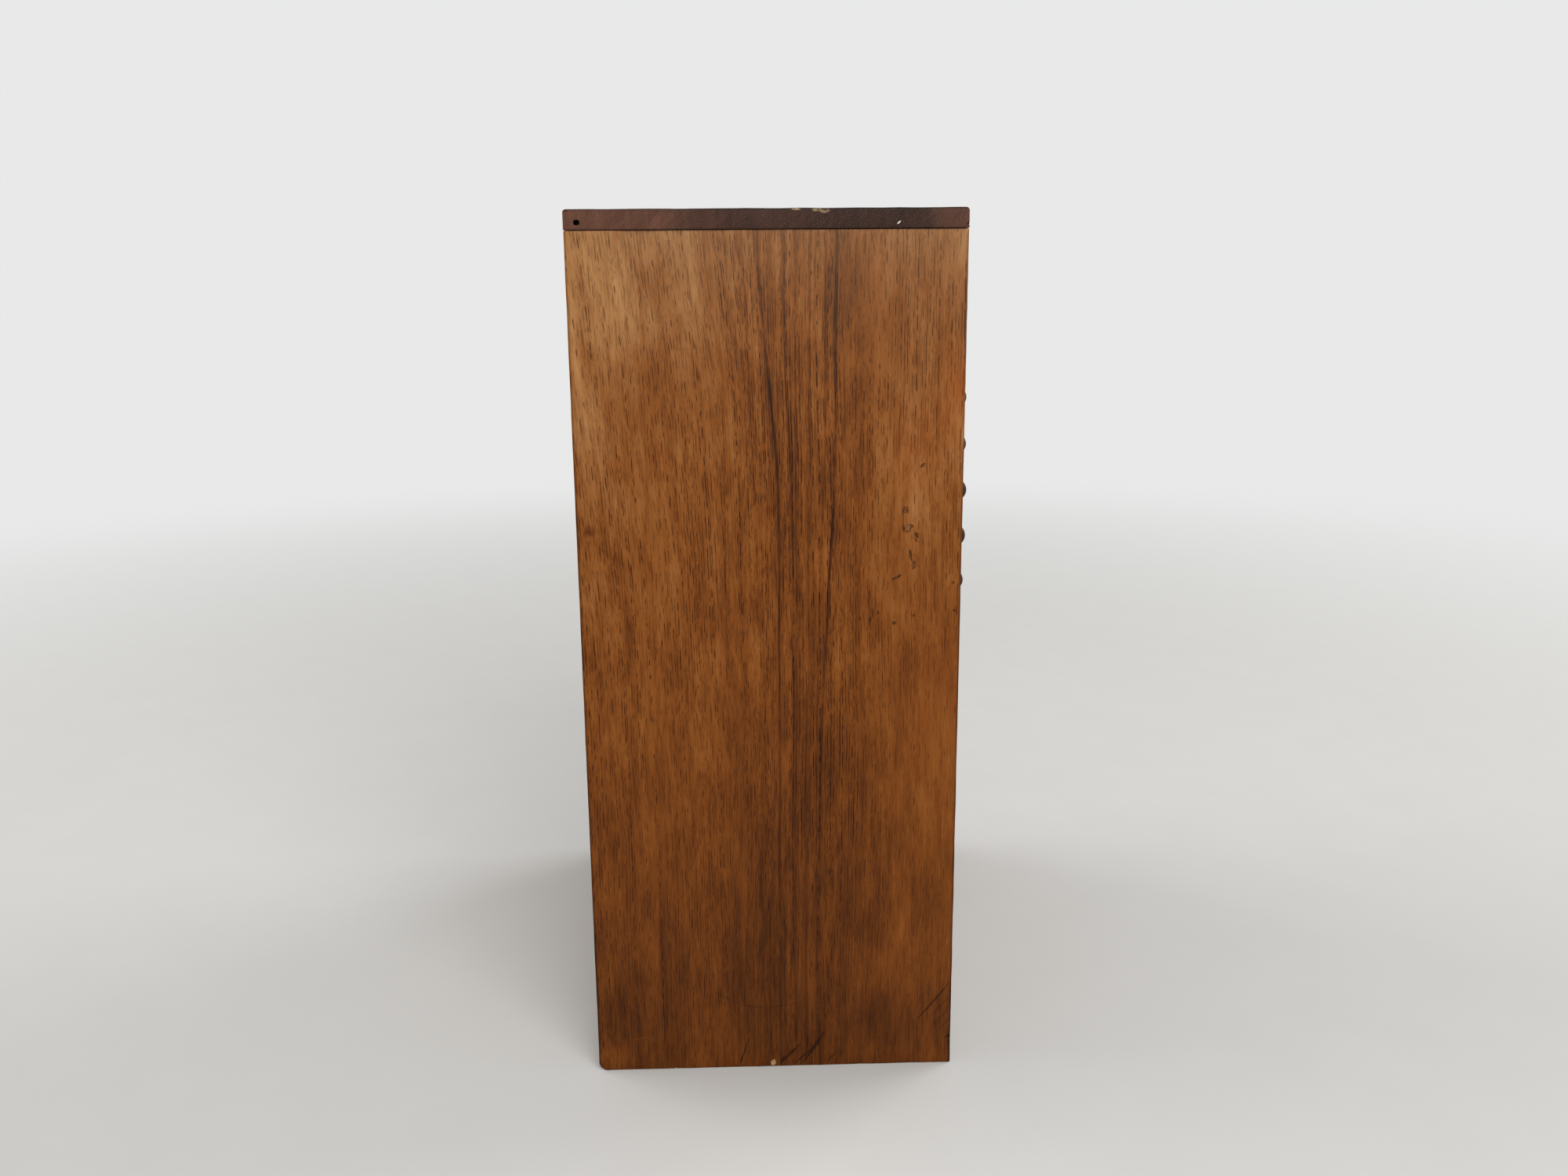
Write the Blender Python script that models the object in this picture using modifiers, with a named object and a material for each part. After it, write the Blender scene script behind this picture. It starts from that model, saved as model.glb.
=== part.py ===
"""A watchmaker's table-top drawer chest: a wooden case with one wide drawer at the top, two
columns of shallow parts drawers below it and three deeper drawers at the foot.

Lengths are in metres, +Z is up and the front faces -Y. The origin lies on the floor, under the
middle of the whole chest, knobs included.
"""

import math

import bmesh
import bpy
from mathutils import Matrix, Vector

MM = 0.001

# Outside of the case
CASE_WIDTH = 300 * MM
CASE_DEPTH = 195 * MM
CASE_HEIGHT = 460 * MM

# Boards of the case
TOP_THICKNESS = 9.7 * MM
SIDE_THICKNESS = 10 * MM
BOTTOM_THICKNESS = 8 * MM
BOTTOM_RAISE = 6 * MM
BACK_THICKNESS = 4 * MM
BACK_INSET = 0.8 * MM
SHELF_THICKNESS = 6 * MM
DIVIDER_THICKNESS = 12 * MM
FRONT_EDGE_INSET = 0.6 * MM

# Joints of the case
DADO_DEPTH = 4 * MM
DIVIDER_DADO_DEPTH = 2 * MM
RABBET_DEPTH = 5 * MM
JOINT_GAP = 0.2 * MM

# Drawer openings
TOP_DRAWER_OPENING = 68.6 * MM
TRAY_ROWS = 5
TRAY_PITCH = 25.9 * MM
DEEP_DRAWERS = 3
DEEP_STEP = 7 * MM

# Fit of the drawers in their openings
FRONT_SIDE_CLEARANCE = 0.6 * MM
FRONT_TOP_CLEARANCE = 0.5 * MM
FRONT_FOOT_CLEARANCE = 0.5 * MM
RUN_GAP = 0.3 * MM

# How far each closed front lies behind the case's front edge, as the maker fitted it
LEFT_TRAY_SET_BACK = [depth * MM for depth in (1.6, 1.2, 0.4, 0.5, 1.2)]
RIGHT_TRAY_SET_BACK = [depth * MM for depth in (0.9, 0.5, 1.3, 0.7, 1.0)]
TOP_SET_BACK = 0.7 * MM
DEEP_SET_BACK = [depth * MM for depth in (1.0, 0.6, 0.9)]

# Parts drawers: a thin front on a tray whose floor runs in grooves of the case
TRAY_FRONT_THICKNESS = 8 * MM
TRAY_LAP_THICKNESS = 4 * MM
TRAY_FLOOR_THICKNESS = 3 * MM
TRAY_FLOOR_LIFT = 3.5 * MM
TRAY_WALL_THICKNESS = 5 * MM
TRAY_HEADROOM = 2.5 * MM
GROOVE_DEPTH = 3.5 * MM

# Wide drawers: a front lapped over two sides, a back and a floor that slides in from behind
WIDE_FRONT_THICKNESS = 9 * MM
WIDE_LAP_THICKNESS = 4 * MM
WIDE_SIDE_THICKNESS = 7 * MM
WIDE_BACK_THICKNESS = 6 * MM
WIDE_BACK_DROP = 3 * MM
WIDE_FLOOR_THICKNESS = 4 * MM
WIDE_FLOOR_LIFT = 5 * MM
WIDE_FLOOR_GROOVE = 3 * MM
WIDE_HEADROOM = 2.5 * MM

# Turned knob, measured out from the drawer front
KNOB_PROJECTION = 15 * MM
KNOB_HEAD_RADIUS = 6.5 * MM
KNOB_NECK_RADIUS = 3.1 * MM
KNOB_NECK_HEIGHT = 3.6 * MM
KNOB_FLANGE_RADIUS = 4.6 * MM
KNOB_FLANGE_HEIGHT = 1 * MM
KNOB_SPIGOT_RADIUS = 2.6 * MM
KNOB_SPIGOT_LENGTH = 7.4 * MM
KNOB_STEPS = 16
KNOB_HEAD_STEPS = 5
KNOB_COVE_STEPS = 3

# Edges, from new to worn
EDGE_BREAK = 0.4 * MM
TOP_ROUND = 1.6 * MM
WORN_HEEL_RADIUS = 5 * MM
WORN_HEEL_STEPS = 4

# How far a cutter runs past the board it cuts
CUT_OVER = 1 * MM

COLLECTION_NAME = "watchmaker_drawer_chest"

# Places that follow from the sizes above
DEEPEST_REACH = KNOB_PROJECTION - min(
    [TOP_SET_BACK, *LEFT_TRAY_SET_BACK, *RIGHT_TRAY_SET_BACK, *DEEP_SET_BACK]
)
FRONT_Y = (DEEPEST_REACH - CASE_DEPTH) / 2
BACK_Y = FRONT_Y + CASE_DEPTH
SIDE_X = CASE_WIDTH / 2
INNER_X = SIDE_X - SIDE_THICKNESS
DIVIDER_X = DIVIDER_THICKNESS / 2
UNDER_TOP_Z = CASE_HEIGHT - TOP_THICKNESS
BACK_FACE_Y = BACK_Y - BACK_INSET - BACK_THICKNESS
SHELF_FRONT_Y = FRONT_Y + FRONT_EDGE_INSET
SHELF_BACK_Y = BACK_FACE_Y - JOINT_GAP
DRAWER_BACK_Y = BACK_FACE_Y - RUN_GAP


def clear_scene():
    for obj in list(bpy.data.objects):
        bpy.data.objects.remove(obj)


def new_collection(name):
    collection = bpy.data.collections.new(name)
    bpy.context.scene.collection.children.link(collection)
    return collection


def new_material(name, colour, roughness):
    material = bpy.data.materials.new(name)
    material.use_nodes = True
    shader = material.node_tree.nodes["Principled BSDF"]
    shader.inputs["Base Color"].default_value = (*colour, 1)
    shader.inputs["Roughness"].default_value = roughness
    shader.inputs["Metallic"].default_value = 0
    return material


def new_empty(name, place, parent=None):
    empty = bpy.data.objects.new(name, None)
    parts.objects.link(empty)
    empty.location = place
    if parent:
        empty.parent = parent
        empty.location = Vector(place) - parent.location
    return empty


def add_box(shape, low, high):
    """Adds a box between two corners to a bmesh."""
    low, high = Vector(low), Vector(high)
    matrix = Matrix.Translation((low + high) / 2) @ Matrix.Diagonal((*(high - low), 1))
    return bmesh.ops.create_cube(shape, size=1, matrix=matrix)["verts"]


def mesh_of(name, shape):
    mesh = bpy.data.meshes.new(name)
    shape.to_mesh(mesh)
    shape.free()
    return mesh


def add_board(name, low, high, material, parent, edge=EDGE_BREAK, shaped=None):
    """A board between two corners, with its origin at its middle and its edges broken."""
    low, high = Vector(low), Vector(high)
    middle = (low + high) / 2
    shape = bmesh.new()
    add_box(shape, low - middle, high - middle)
    if shaped:
        shaped(shape)
    board = bpy.data.objects.new(name, mesh_of(name, shape))
    board.data.materials.append(material)
    parts.objects.link(board)
    board.parent = parent
    board.location = middle - parent.matrix_world.translation
    bevel = board.modifiers.new("broken_edges", "BEVEL")
    bevel.width = edge
    bevel.segments = 1
    bevel.limit_method = "ANGLE"
    return board


def carve(board, label, tool_shape):
    """Cuts the closed bodies of a bmesh, given in world space, out of a board."""
    name = f"{board.name}_{label}"
    tool = bpy.data.objects.new(name, mesh_of(name, tool_shape))
    cutters.objects.link(tool)
    tool.hide_render = True
    tool.display_type = "WIRE"
    cut = board.modifiers.new(label, "BOOLEAN")
    cut.operation = "DIFFERENCE"
    cut.solver = "EXACT"
    cut.object = tool


def carve_boxes(board, label, *boxes):
    shape = bmesh.new()
    for low, high in boxes:
        add_box(shape, low, high)
    carve(board, label, shape)


def bore(board, label, mouth, depth, radius):
    """Bores a round hole along +Y, from a mouth point on the board's face."""
    start = Vector(mouth) - Vector((0, CUT_OVER, 0))
    length = depth + CUT_OVER
    along_y = Matrix.Rotation(math.radians(90), 4, "X")
    shape = bmesh.new()
    bmesh.ops.create_cone(
        shape,
        cap_ends=True,
        segments=KNOB_STEPS,
        radius1=radius,
        radius2=radius,
        depth=length,
        matrix=Matrix.Translation(start + Vector((0, length / 2, 0))) @ along_y,
    )
    carve(board, label, shape)


def arc(middle, radii, start_degrees, end_degrees, steps):
    """Points along an ellipse's arc in the profile plane, both ends included."""
    points = []
    for step in range(steps + 1):
        angle = math.radians(start_degrees + (end_degrees - start_degrees) * step / steps)
        across = middle[0] + radii[0] * math.cos(angle)
        up = middle[1] + radii[1] * math.sin(angle)
        points.append((across, up))
    return points


def knob_profile():
    """The knob's outline from the tip down to the end of its spigot, as (radius, height)."""
    head_height = KNOB_PROJECTION - KNOB_HEAD_RADIUS
    under_head = head_height - KNOB_NECK_HEIGHT
    cove_height = KNOB_NECK_HEIGHT - KNOB_FLANGE_HEIGHT
    head = arc((0, head_height), (KNOB_HEAD_RADIUS, KNOB_HEAD_RADIUS), 90, 0, KNOB_HEAD_STEPS)
    throat = arc(
        (KNOB_NECK_RADIUS, head_height),
        (KNOB_HEAD_RADIUS - KNOB_NECK_RADIUS, under_head),
        0,
        -90,
        KNOB_COVE_STEPS,
    )
    cove = arc(
        (KNOB_FLANGE_RADIUS, KNOB_NECK_HEIGHT),
        (KNOB_FLANGE_RADIUS - KNOB_NECK_RADIUS, cove_height),
        180,
        270,
        KNOB_COVE_STEPS,
    )
    foot = [
        (KNOB_FLANGE_RADIUS, JOINT_GAP),
        (KNOB_SPIGOT_RADIUS, JOINT_GAP),
        (KNOB_SPIGOT_RADIUS, -KNOB_SPIGOT_LENGTH),
        (0, -KNOB_SPIGOT_LENGTH),
    ]
    return [(0, KNOB_PROJECTION), *head[1:], *throat[1:], *cove[1:], *foot]


def add_knob(name, place, parent):
    """A turned knob whose axis points out of the drawer front, along -Y, at a world point."""
    shape = bmesh.new()
    points = [shape.verts.new((radius, 0, height)) for radius, height in knob_profile()]
    for upper, lower in zip(points, points[1:]):
        shape.edges.new((upper, lower))
    knob = bpy.data.objects.new(name, mesh_of(name, shape))
    knob.data.materials.append(knob_wood)
    parts.objects.link(knob)
    knob.parent = parent
    knob.location = Vector(place) - parent.matrix_world.translation
    knob.rotation_euler = (math.radians(90), 0, 0)
    turned = knob.modifiers.new("turned", "SCREW")
    turned.steps = KNOB_STEPS
    turned.render_steps = KNOB_STEPS
    turned.use_merge_vertices = True
    turned.merge_threshold = 0.00001
    turned.use_smooth_shade = True
    return knob


def shelf_tops():
    """Heights of the upper faces of the four shelves, from the top one down."""
    upper = UNDER_TOP_Z - TOP_DRAWER_OPENING
    lower = upper - SHELF_THICKNESS - TRAY_ROWS * TRAY_PITCH
    levels = [upper, lower]
    ceiling = lower - SHELF_THICKNESS
    for height in deep_openings()[:-1]:
        levels.append(ceiling - height)
        ceiling -= height + SHELF_THICKNESS
    return levels


def deep_openings():
    """Heights of the deep drawers' openings, each one step taller than the one above."""
    ceiling = UNDER_TOP_Z - TOP_DRAWER_OPENING - 2 * SHELF_THICKNESS - TRAY_ROWS * TRAY_PITCH
    floor = BOTTOM_RAISE + BOTTOM_THICKNESS
    room = ceiling - floor - (DEEP_DRAWERS - 1) * SHELF_THICKNESS
    middle = (DEEP_DRAWERS - 1) / 2
    return [room / DEEP_DRAWERS + DEEP_STEP * (row - middle) for row in range(DEEP_DRAWERS)]


def tray_row_floor(row):
    """Height of the foot of a row of parts drawers, row 0 being the highest."""
    return shelf_tops()[0] - SHELF_THICKNESS - (row + 1) * TRAY_PITCH


def groove_boxes(face_x, depth):
    """One groove for each row of parts drawers, cut from a vertical face to a signed depth."""
    boxes = []
    left = min(face_x, face_x + depth)
    right = max(face_x, face_x + depth)
    mouth = CUT_OVER if depth < 0 else -CUT_OVER
    left, right = min(left, face_x + mouth), max(right, face_x + mouth)
    for row in range(TRAY_ROWS):
        floor = tray_row_floor(row) + TRAY_FLOOR_LIFT - RUN_GAP
        height = TRAY_FLOOR_THICKNESS + 2 * RUN_GAP
        low = (left, FRONT_Y - CUT_OVER, floor)
        high = (right, BACK_Y + CUT_OVER, floor + height)
        boxes.append((low, high))
    return boxes


def wear_heel(shape):
    """Rounds the back corner at the foot of a side, where it has been set down for years."""
    back = max(vert.co.y for vert in shape.verts)
    foot = min(vert.co.z for vert in shape.verts)
    heel = [
        edge
        for edge in shape.edges
        if all(vert.co.y == back and vert.co.z == foot for vert in edge.verts)
    ]
    bmesh.ops.bevel(
        shape,
        geom=heel,
        offset=WORN_HEEL_RADIUS,
        segments=WORN_HEEL_STEPS,
        profile=0.5,
        affect="EDGES",
    )


def add_side(name, hand, shaped=None):
    """A side of the case: hand is -1 for the left and 1 for the right."""
    outer, inner = hand * SIDE_X, hand * INNER_X
    low = (min(outer, inner), FRONT_Y, 0)
    high = (max(outer, inner), BACK_Y, UNDER_TOP_Z - JOINT_GAP)
    side = add_board(name, low, high, case_wood, chest, shaped=shaped)

    def slot(depth, floor, height, start_y):
        """A box that opens on the inner face and runs out past the back."""
        deep, open_end = inner + hand * depth, inner - hand * CUT_OVER
        box_low = (min(deep, open_end), start_y, floor)
        box_high = (max(deep, open_end), BACK_Y + CUT_OVER, floor + height)
        return box_low, box_high

    rabbet = slot(RABBET_DEPTH, -CUT_OVER, CASE_HEIGHT + CUT_OVER, BACK_FACE_Y - JOINT_GAP)
    carve_boxes(side, "back_rabbet", rabbet)
    through = FRONT_Y - CUT_OVER
    dados = [slot(DADO_DEPTH, BOTTOM_RAISE - JOINT_GAP, BOTTOM_THICKNESS + 2 * JOINT_GAP, through)]
    for level in shelf_tops():
        floor = level - SHELF_THICKNESS - JOINT_GAP
        dados.append(slot(DADO_DEPTH, floor, SHELF_THICKNESS + 2 * JOINT_GAP, through))
    carve_boxes(side, "dados", *dados, *groove_boxes(inner, hand * GROOVE_DEPTH))
    return side


def add_shelf(name, top_z, thickness):
    """A board housed in the sides, from just inside the front edge to the back panel."""
    reach = INNER_X + DADO_DEPTH - JOINT_GAP
    low = (-reach, SHELF_FRONT_Y, top_z - thickness)
    high = (reach, SHELF_BACK_Y, top_z)
    return add_board(name, low, high, shelf_wood, chest)


def house_divider(shelf, label, face_z, direction):
    """Cuts the shallow dado that holds the centre divider; direction is 1 up or -1 down."""
    deep, open_end = face_z - direction * DIVIDER_DADO_DEPTH, face_z + direction * CUT_OVER
    reach = DIVIDER_X + JOINT_GAP
    low = (-reach, FRONT_Y - CUT_OVER, min(deep, open_end))
    high = (reach, BACK_Y + CUT_OVER, max(deep, open_end))
    carve_boxes(shelf, label, (low, high))


def add_case():
    levels = shelf_tops()
    add_side("left_side", -1, wear_heel)
    add_side("right_side", 1)
    low = (-SIDE_X, FRONT_Y, UNDER_TOP_Z)
    high = (SIDE_X, BACK_Y, CASE_HEIGHT)
    top = add_board("top_board", low, high, top_wood, chest, edge=TOP_ROUND)
    top.modifiers["broken_edges"].segments = 2
    add_shelf("bottom_board", BOTTOM_RAISE + BOTTOM_THICKNESS, BOTTOM_THICKNESS)
    shelves = [
        add_shelf(f"shelf_{number}", level, SHELF_THICKNESS)
        for number, level in enumerate(levels, start=1)
    ]
    reach = INNER_X + RABBET_DEPTH - RUN_GAP
    low = (-reach, BACK_FACE_Y, BOTTOM_RAISE)
    high = (reach, BACK_FACE_Y + BACK_THICKNESS, UNDER_TOP_Z - JOINT_GAP)
    add_board("back_panel", low, high, back_wood, chest)

    upper_face = levels[0] - SHELF_THICKNESS
    lower_face = levels[1]
    house_divider(shelves[0], "divider_dado", upper_face, -1)
    house_divider(shelves[1], "divider_dado", lower_face, 1)
    tenon = DIVIDER_DADO_DEPTH - JOINT_GAP
    low = (-DIVIDER_X, SHELF_FRONT_Y, lower_face - tenon)
    high = (DIVIDER_X, SHELF_BACK_Y, upper_face + tenon)
    divider = add_board("centre_divider", low, high, shelf_wood, chest)
    left_grooves = groove_boxes(-DIVIDER_X, GROOVE_DEPTH)
    right_grooves = groove_boxes(DIVIDER_X, -GROOVE_DEPTH)
    carve_boxes(divider, "grooves", *left_grooves, *right_grooves)


def add_front(drawer, name, low, high, lap, wall, floor_z, floor_height):
    """A drawer front, lapped behind for the box's walls and housed for its floor.

    low and high are its outer corners, lap the thickness left over the walls, wall their
    thickness, and floor_z and floor_height the place of the floor.
    """
    front = add_board(name, low, high, front_wood, drawer)
    lap_y = low[1] + lap
    behind = high[1] + CUT_OVER
    inside = wall + JOINT_GAP
    over, under = high[2] + CUT_OVER, low[2] - CUT_OVER
    left_lap = ((low[0] - CUT_OVER, lap_y, under), (low[0] + inside, behind, over))
    right_lap = ((high[0] - inside, lap_y, under), (high[0] + CUT_OVER, behind, over))
    carve_boxes(front, "laps", left_lap, right_lap)
    floor_low = (low[0] - CUT_OVER, lap_y, floor_z - JOINT_GAP)
    floor_high = (high[0] + CUT_OVER, behind, floor_z + floor_height + JOINT_GAP)
    carve_boxes(front, "floor_housing", (floor_low, floor_high))
    return front


def finish_drawer(drawer, name, front, face_middle, thickness):
    """Bores the front for its knob and sets the knob in."""
    bore(front, "knob_hole", face_middle, thickness + CUT_OVER, KNOB_SPIGOT_RADIUS + RUN_GAP)
    add_knob(f"{name}_knob", face_middle, drawer)


def add_parts_drawer(name, left_x, right_x, row, set_back):
    """A shallow drawer between two grooved faces of the case."""
    row_floor = tray_row_floor(row)
    face_y = FRONT_Y + set_back
    front_low = Vector((left_x + FRONT_SIDE_CLEARANCE, face_y, row_floor + FRONT_FOOT_CLEARANCE))
    front_high = Vector(
        (
            right_x - FRONT_SIDE_CLEARANCE,
            face_y + TRAY_FRONT_THICKNESS,
            row_floor + TRAY_PITCH - FRONT_TOP_CLEARANCE,
        )
    )
    middle = Vector(((left_x + right_x) / 2, face_y, row_floor + TRAY_PITCH / 2))
    drawer = new_empty(name, middle, chest)
    bpy.context.view_layer.update()

    floor_z = row_floor + TRAY_FLOOR_LIFT
    front = add_front(
        drawer,
        f"{name}_front",
        front_low,
        front_high,
        TRAY_LAP_THICKNESS,
        TRAY_WALL_THICKNESS,
        floor_z,
        TRAY_FLOOR_THICKNESS,
    )
    tongue = GROOVE_DEPTH - RUN_GAP
    tray_front_y = face_y + TRAY_LAP_THICKNESS + JOINT_GAP
    tray_top = row_floor + TRAY_PITCH - TRAY_HEADROOM
    low = Vector((left_x - tongue, tray_front_y, floor_z))
    high = Vector((right_x + tongue, DRAWER_BACK_Y, tray_top))
    tray = add_board(f"{name}_tray", low, high, box_wood, drawer)
    floor_top = floor_z + TRAY_FLOOR_THICKNESS
    outside_low = (low.x - CUT_OVER, low.y - CUT_OVER, floor_top)
    outside_high = (front_low.x, high.y + CUT_OVER, high.z + CUT_OVER)
    far_low = (front_high.x, low.y - CUT_OVER, floor_top)
    far_high = (high.x + CUT_OVER, high.y + CUT_OVER, high.z + CUT_OVER)
    inside_low = (front_low.x + TRAY_WALL_THICKNESS, low.y - CUT_OVER, floor_top)
    inside_high = (
        front_high.x - TRAY_WALL_THICKNESS,
        high.y - TRAY_WALL_THICKNESS,
        high.z + CUT_OVER,
    )
    carve_boxes(
        tray,
        "hollow",
        (outside_low, outside_high),
        (far_low, far_high),
        (inside_low, inside_high),
    )
    finish_drawer(drawer, name, front, middle, TRAY_FRONT_THICKNESS)


def add_wide_drawer(name, opening_floor, opening_height, set_back):
    """A full-width drawer that runs on the board below its opening."""
    face_y = FRONT_Y + set_back
    reach = INNER_X - FRONT_SIDE_CLEARANCE
    ceiling = opening_floor + opening_height
    front_low = Vector((-reach, face_y, opening_floor + FRONT_FOOT_CLEARANCE))
    front_high = Vector((reach, face_y + WIDE_FRONT_THICKNESS, ceiling - FRONT_TOP_CLEARANCE))
    middle = Vector((0, face_y, opening_floor + opening_height / 2))
    drawer = new_empty(name, middle, chest)
    bpy.context.view_layer.update()

    runner_z = opening_floor + RUN_GAP
    floor_z = runner_z + WIDE_FLOOR_LIFT
    front = add_front(
        drawer,
        f"{name}_front",
        front_low,
        front_high,
        WIDE_LAP_THICKNESS,
        WIDE_SIDE_THICKNESS,
        floor_z,
        WIDE_FLOOR_THICKNESS,
    )
    frame_front_y = face_y + WIDE_LAP_THICKNESS + JOINT_GAP
    wall_top = ceiling - WIDE_HEADROOM
    low = Vector((-reach, frame_front_y, runner_z))
    high = Vector((reach, DRAWER_BACK_Y, wall_top))
    frame = add_board(f"{name}_frame", low, high, box_wood, drawer)
    inner = reach - WIDE_SIDE_THICKNESS
    back_face = high.y - WIDE_BACK_THICKNESS
    under, over = low.z - CUT_OVER, high.z + CUT_OVER
    hollow = ((-inner, low.y - CUT_OVER, under), (inner, back_face, over))
    carve_boxes(frame, "hollow", hollow)
    slot_top = floor_z + WIDE_FLOOR_THICKNESS + JOINT_GAP
    slot_reach = inner + WIDE_FLOOR_GROOVE
    slot_low = (-slot_reach, low.y - CUT_OVER, floor_z - JOINT_GAP)
    slot_high = (slot_reach, high.y + CUT_OVER, slot_top)
    carve_boxes(frame, "floor_slot", (slot_low, slot_high))
    below_back = ((-inner, back_face - CUT_OVER, under), (inner, high.y + CUT_OVER, floor_z))
    above_back = (
        (-inner, back_face - CUT_OVER, wall_top - WIDE_BACK_DROP),
        (inner, high.y + CUT_OVER, over),
    )
    carve_boxes(frame, "back_edges", below_back, above_back)

    floor_reach = slot_reach - JOINT_GAP
    floor_low = (-floor_reach, frame_front_y, floor_z)
    floor_high = (floor_reach, high.y, floor_z + WIDE_FLOOR_THICKNESS)
    add_board(f"{name}_floor", floor_low, floor_high, floor_wood, drawer)
    finish_drawer(drawer, name, front, middle, WIDE_FRONT_THICKNESS)


def add_drawers():
    levels = shelf_tops()
    add_wide_drawer("top_drawer", levels[0], TOP_DRAWER_OPENING, TOP_SET_BACK)
    for row in range(TRAY_ROWS):
        number = row + 1
        left, right = LEFT_TRAY_SET_BACK[row], RIGHT_TRAY_SET_BACK[row]
        add_parts_drawer(f"left_parts_drawer_{number}", -INNER_X, -DIVIDER_X, row, left)
        add_parts_drawer(f"right_parts_drawer_{number}", DIVIDER_X, INNER_X, row, right)
    floors = [*levels[2:], BOTTOM_RAISE + BOTTOM_THICKNESS]
    for row, height in enumerate(deep_openings()):
        add_wide_drawer(f"deep_drawer_{row + 1}", floors[row], height, DEEP_SET_BACK[row])


clear_scene()
parts = new_collection(COLLECTION_NAME)
cutters = new_collection("cutters")
case_wood = new_material("case_wood", (0.20, 0.075, 0.021), 0.45)
top_wood = new_material("dark_top_wood", (0.075, 0.037, 0.026), 0.5)
front_wood = new_material("drawer_front_wood", (0.19, 0.07, 0.02), 0.45)
shelf_wood = new_material("shelf_wood", (0.22, 0.095, 0.033), 0.6)
box_wood = new_material("drawer_box_wood", (0.42, 0.24, 0.11), 0.65)
floor_wood = new_material("drawer_floor_wood", (0.46, 0.28, 0.14), 0.65)
back_wood = new_material("back_panel_wood", (0.30, 0.15, 0.06), 0.65)
knob_wood = new_material("dark_knob_wood", (0.03, 0.017, 0.011), 0.35)
chest = new_empty("chest", (0, 0, 0))
add_case()
add_drawers()
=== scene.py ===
import math
import random

import bpy
from mathutils import Matrix, Quaternion, Vector


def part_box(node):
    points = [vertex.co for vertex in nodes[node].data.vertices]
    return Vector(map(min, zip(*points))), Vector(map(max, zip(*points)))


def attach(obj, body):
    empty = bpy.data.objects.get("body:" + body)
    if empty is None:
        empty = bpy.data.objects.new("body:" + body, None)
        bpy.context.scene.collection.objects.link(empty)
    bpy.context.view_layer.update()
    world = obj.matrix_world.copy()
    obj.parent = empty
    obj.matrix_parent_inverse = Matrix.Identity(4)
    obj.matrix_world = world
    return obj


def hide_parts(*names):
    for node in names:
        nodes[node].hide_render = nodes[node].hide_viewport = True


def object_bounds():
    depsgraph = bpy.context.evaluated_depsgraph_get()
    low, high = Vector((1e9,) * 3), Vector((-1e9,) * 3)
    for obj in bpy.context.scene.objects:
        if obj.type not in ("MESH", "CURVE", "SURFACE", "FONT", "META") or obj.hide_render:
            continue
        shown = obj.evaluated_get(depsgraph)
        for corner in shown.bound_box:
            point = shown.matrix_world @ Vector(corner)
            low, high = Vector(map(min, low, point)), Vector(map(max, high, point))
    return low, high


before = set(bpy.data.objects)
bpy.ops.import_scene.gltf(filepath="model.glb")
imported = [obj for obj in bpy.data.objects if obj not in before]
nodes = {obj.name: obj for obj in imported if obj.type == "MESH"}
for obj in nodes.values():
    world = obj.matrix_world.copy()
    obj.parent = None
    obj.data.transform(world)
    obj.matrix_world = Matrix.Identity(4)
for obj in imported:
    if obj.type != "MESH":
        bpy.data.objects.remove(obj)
cadBox = [list(corner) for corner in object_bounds()]
mm = 0.001
perMetre = 1000  # mm
near, apart = 0.01 * mm, 0.1 * mm  # closer than near is the same place, farther than apart is not
decay = 2.718  # base of the slow fades
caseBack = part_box("left_side")[1].y
print("frame loaded:", len(nodes), "nodes")


# shader maths: a wire is one socket, and a paint is one material's tree

def operator(operation, reflected=False):
    def method(self, other):
        first, second = (other, self) if reflected else (self, other)
        return self.maths(operation, first, second)

    return method


class Wire:
    __add__, __radd__ = operator("ADD"), operator("ADD", True)
    __sub__, __rsub__ = operator("SUBTRACT"), operator("SUBTRACT", True)
    __mul__, __rmul__ = operator("MULTIPLY"), operator("MULTIPLY", True)
    __truediv__, __rtruediv__ = operator("DIVIDE"), operator("DIVIDE", True)
    __pow__, __rpow__ = operator("POWER"), operator("POWER", True)

    def __init__(self, paint, socket):
        self.paint = paint
        self.socket = socket

    def maths(self, operation, first, second=0):
        return self.paint.add("ShaderNodeMath", {"operation": operation}, {0: first, 1: second})

    def __abs__(self):
        return self.maths("ABSOLUTE", self)


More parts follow.
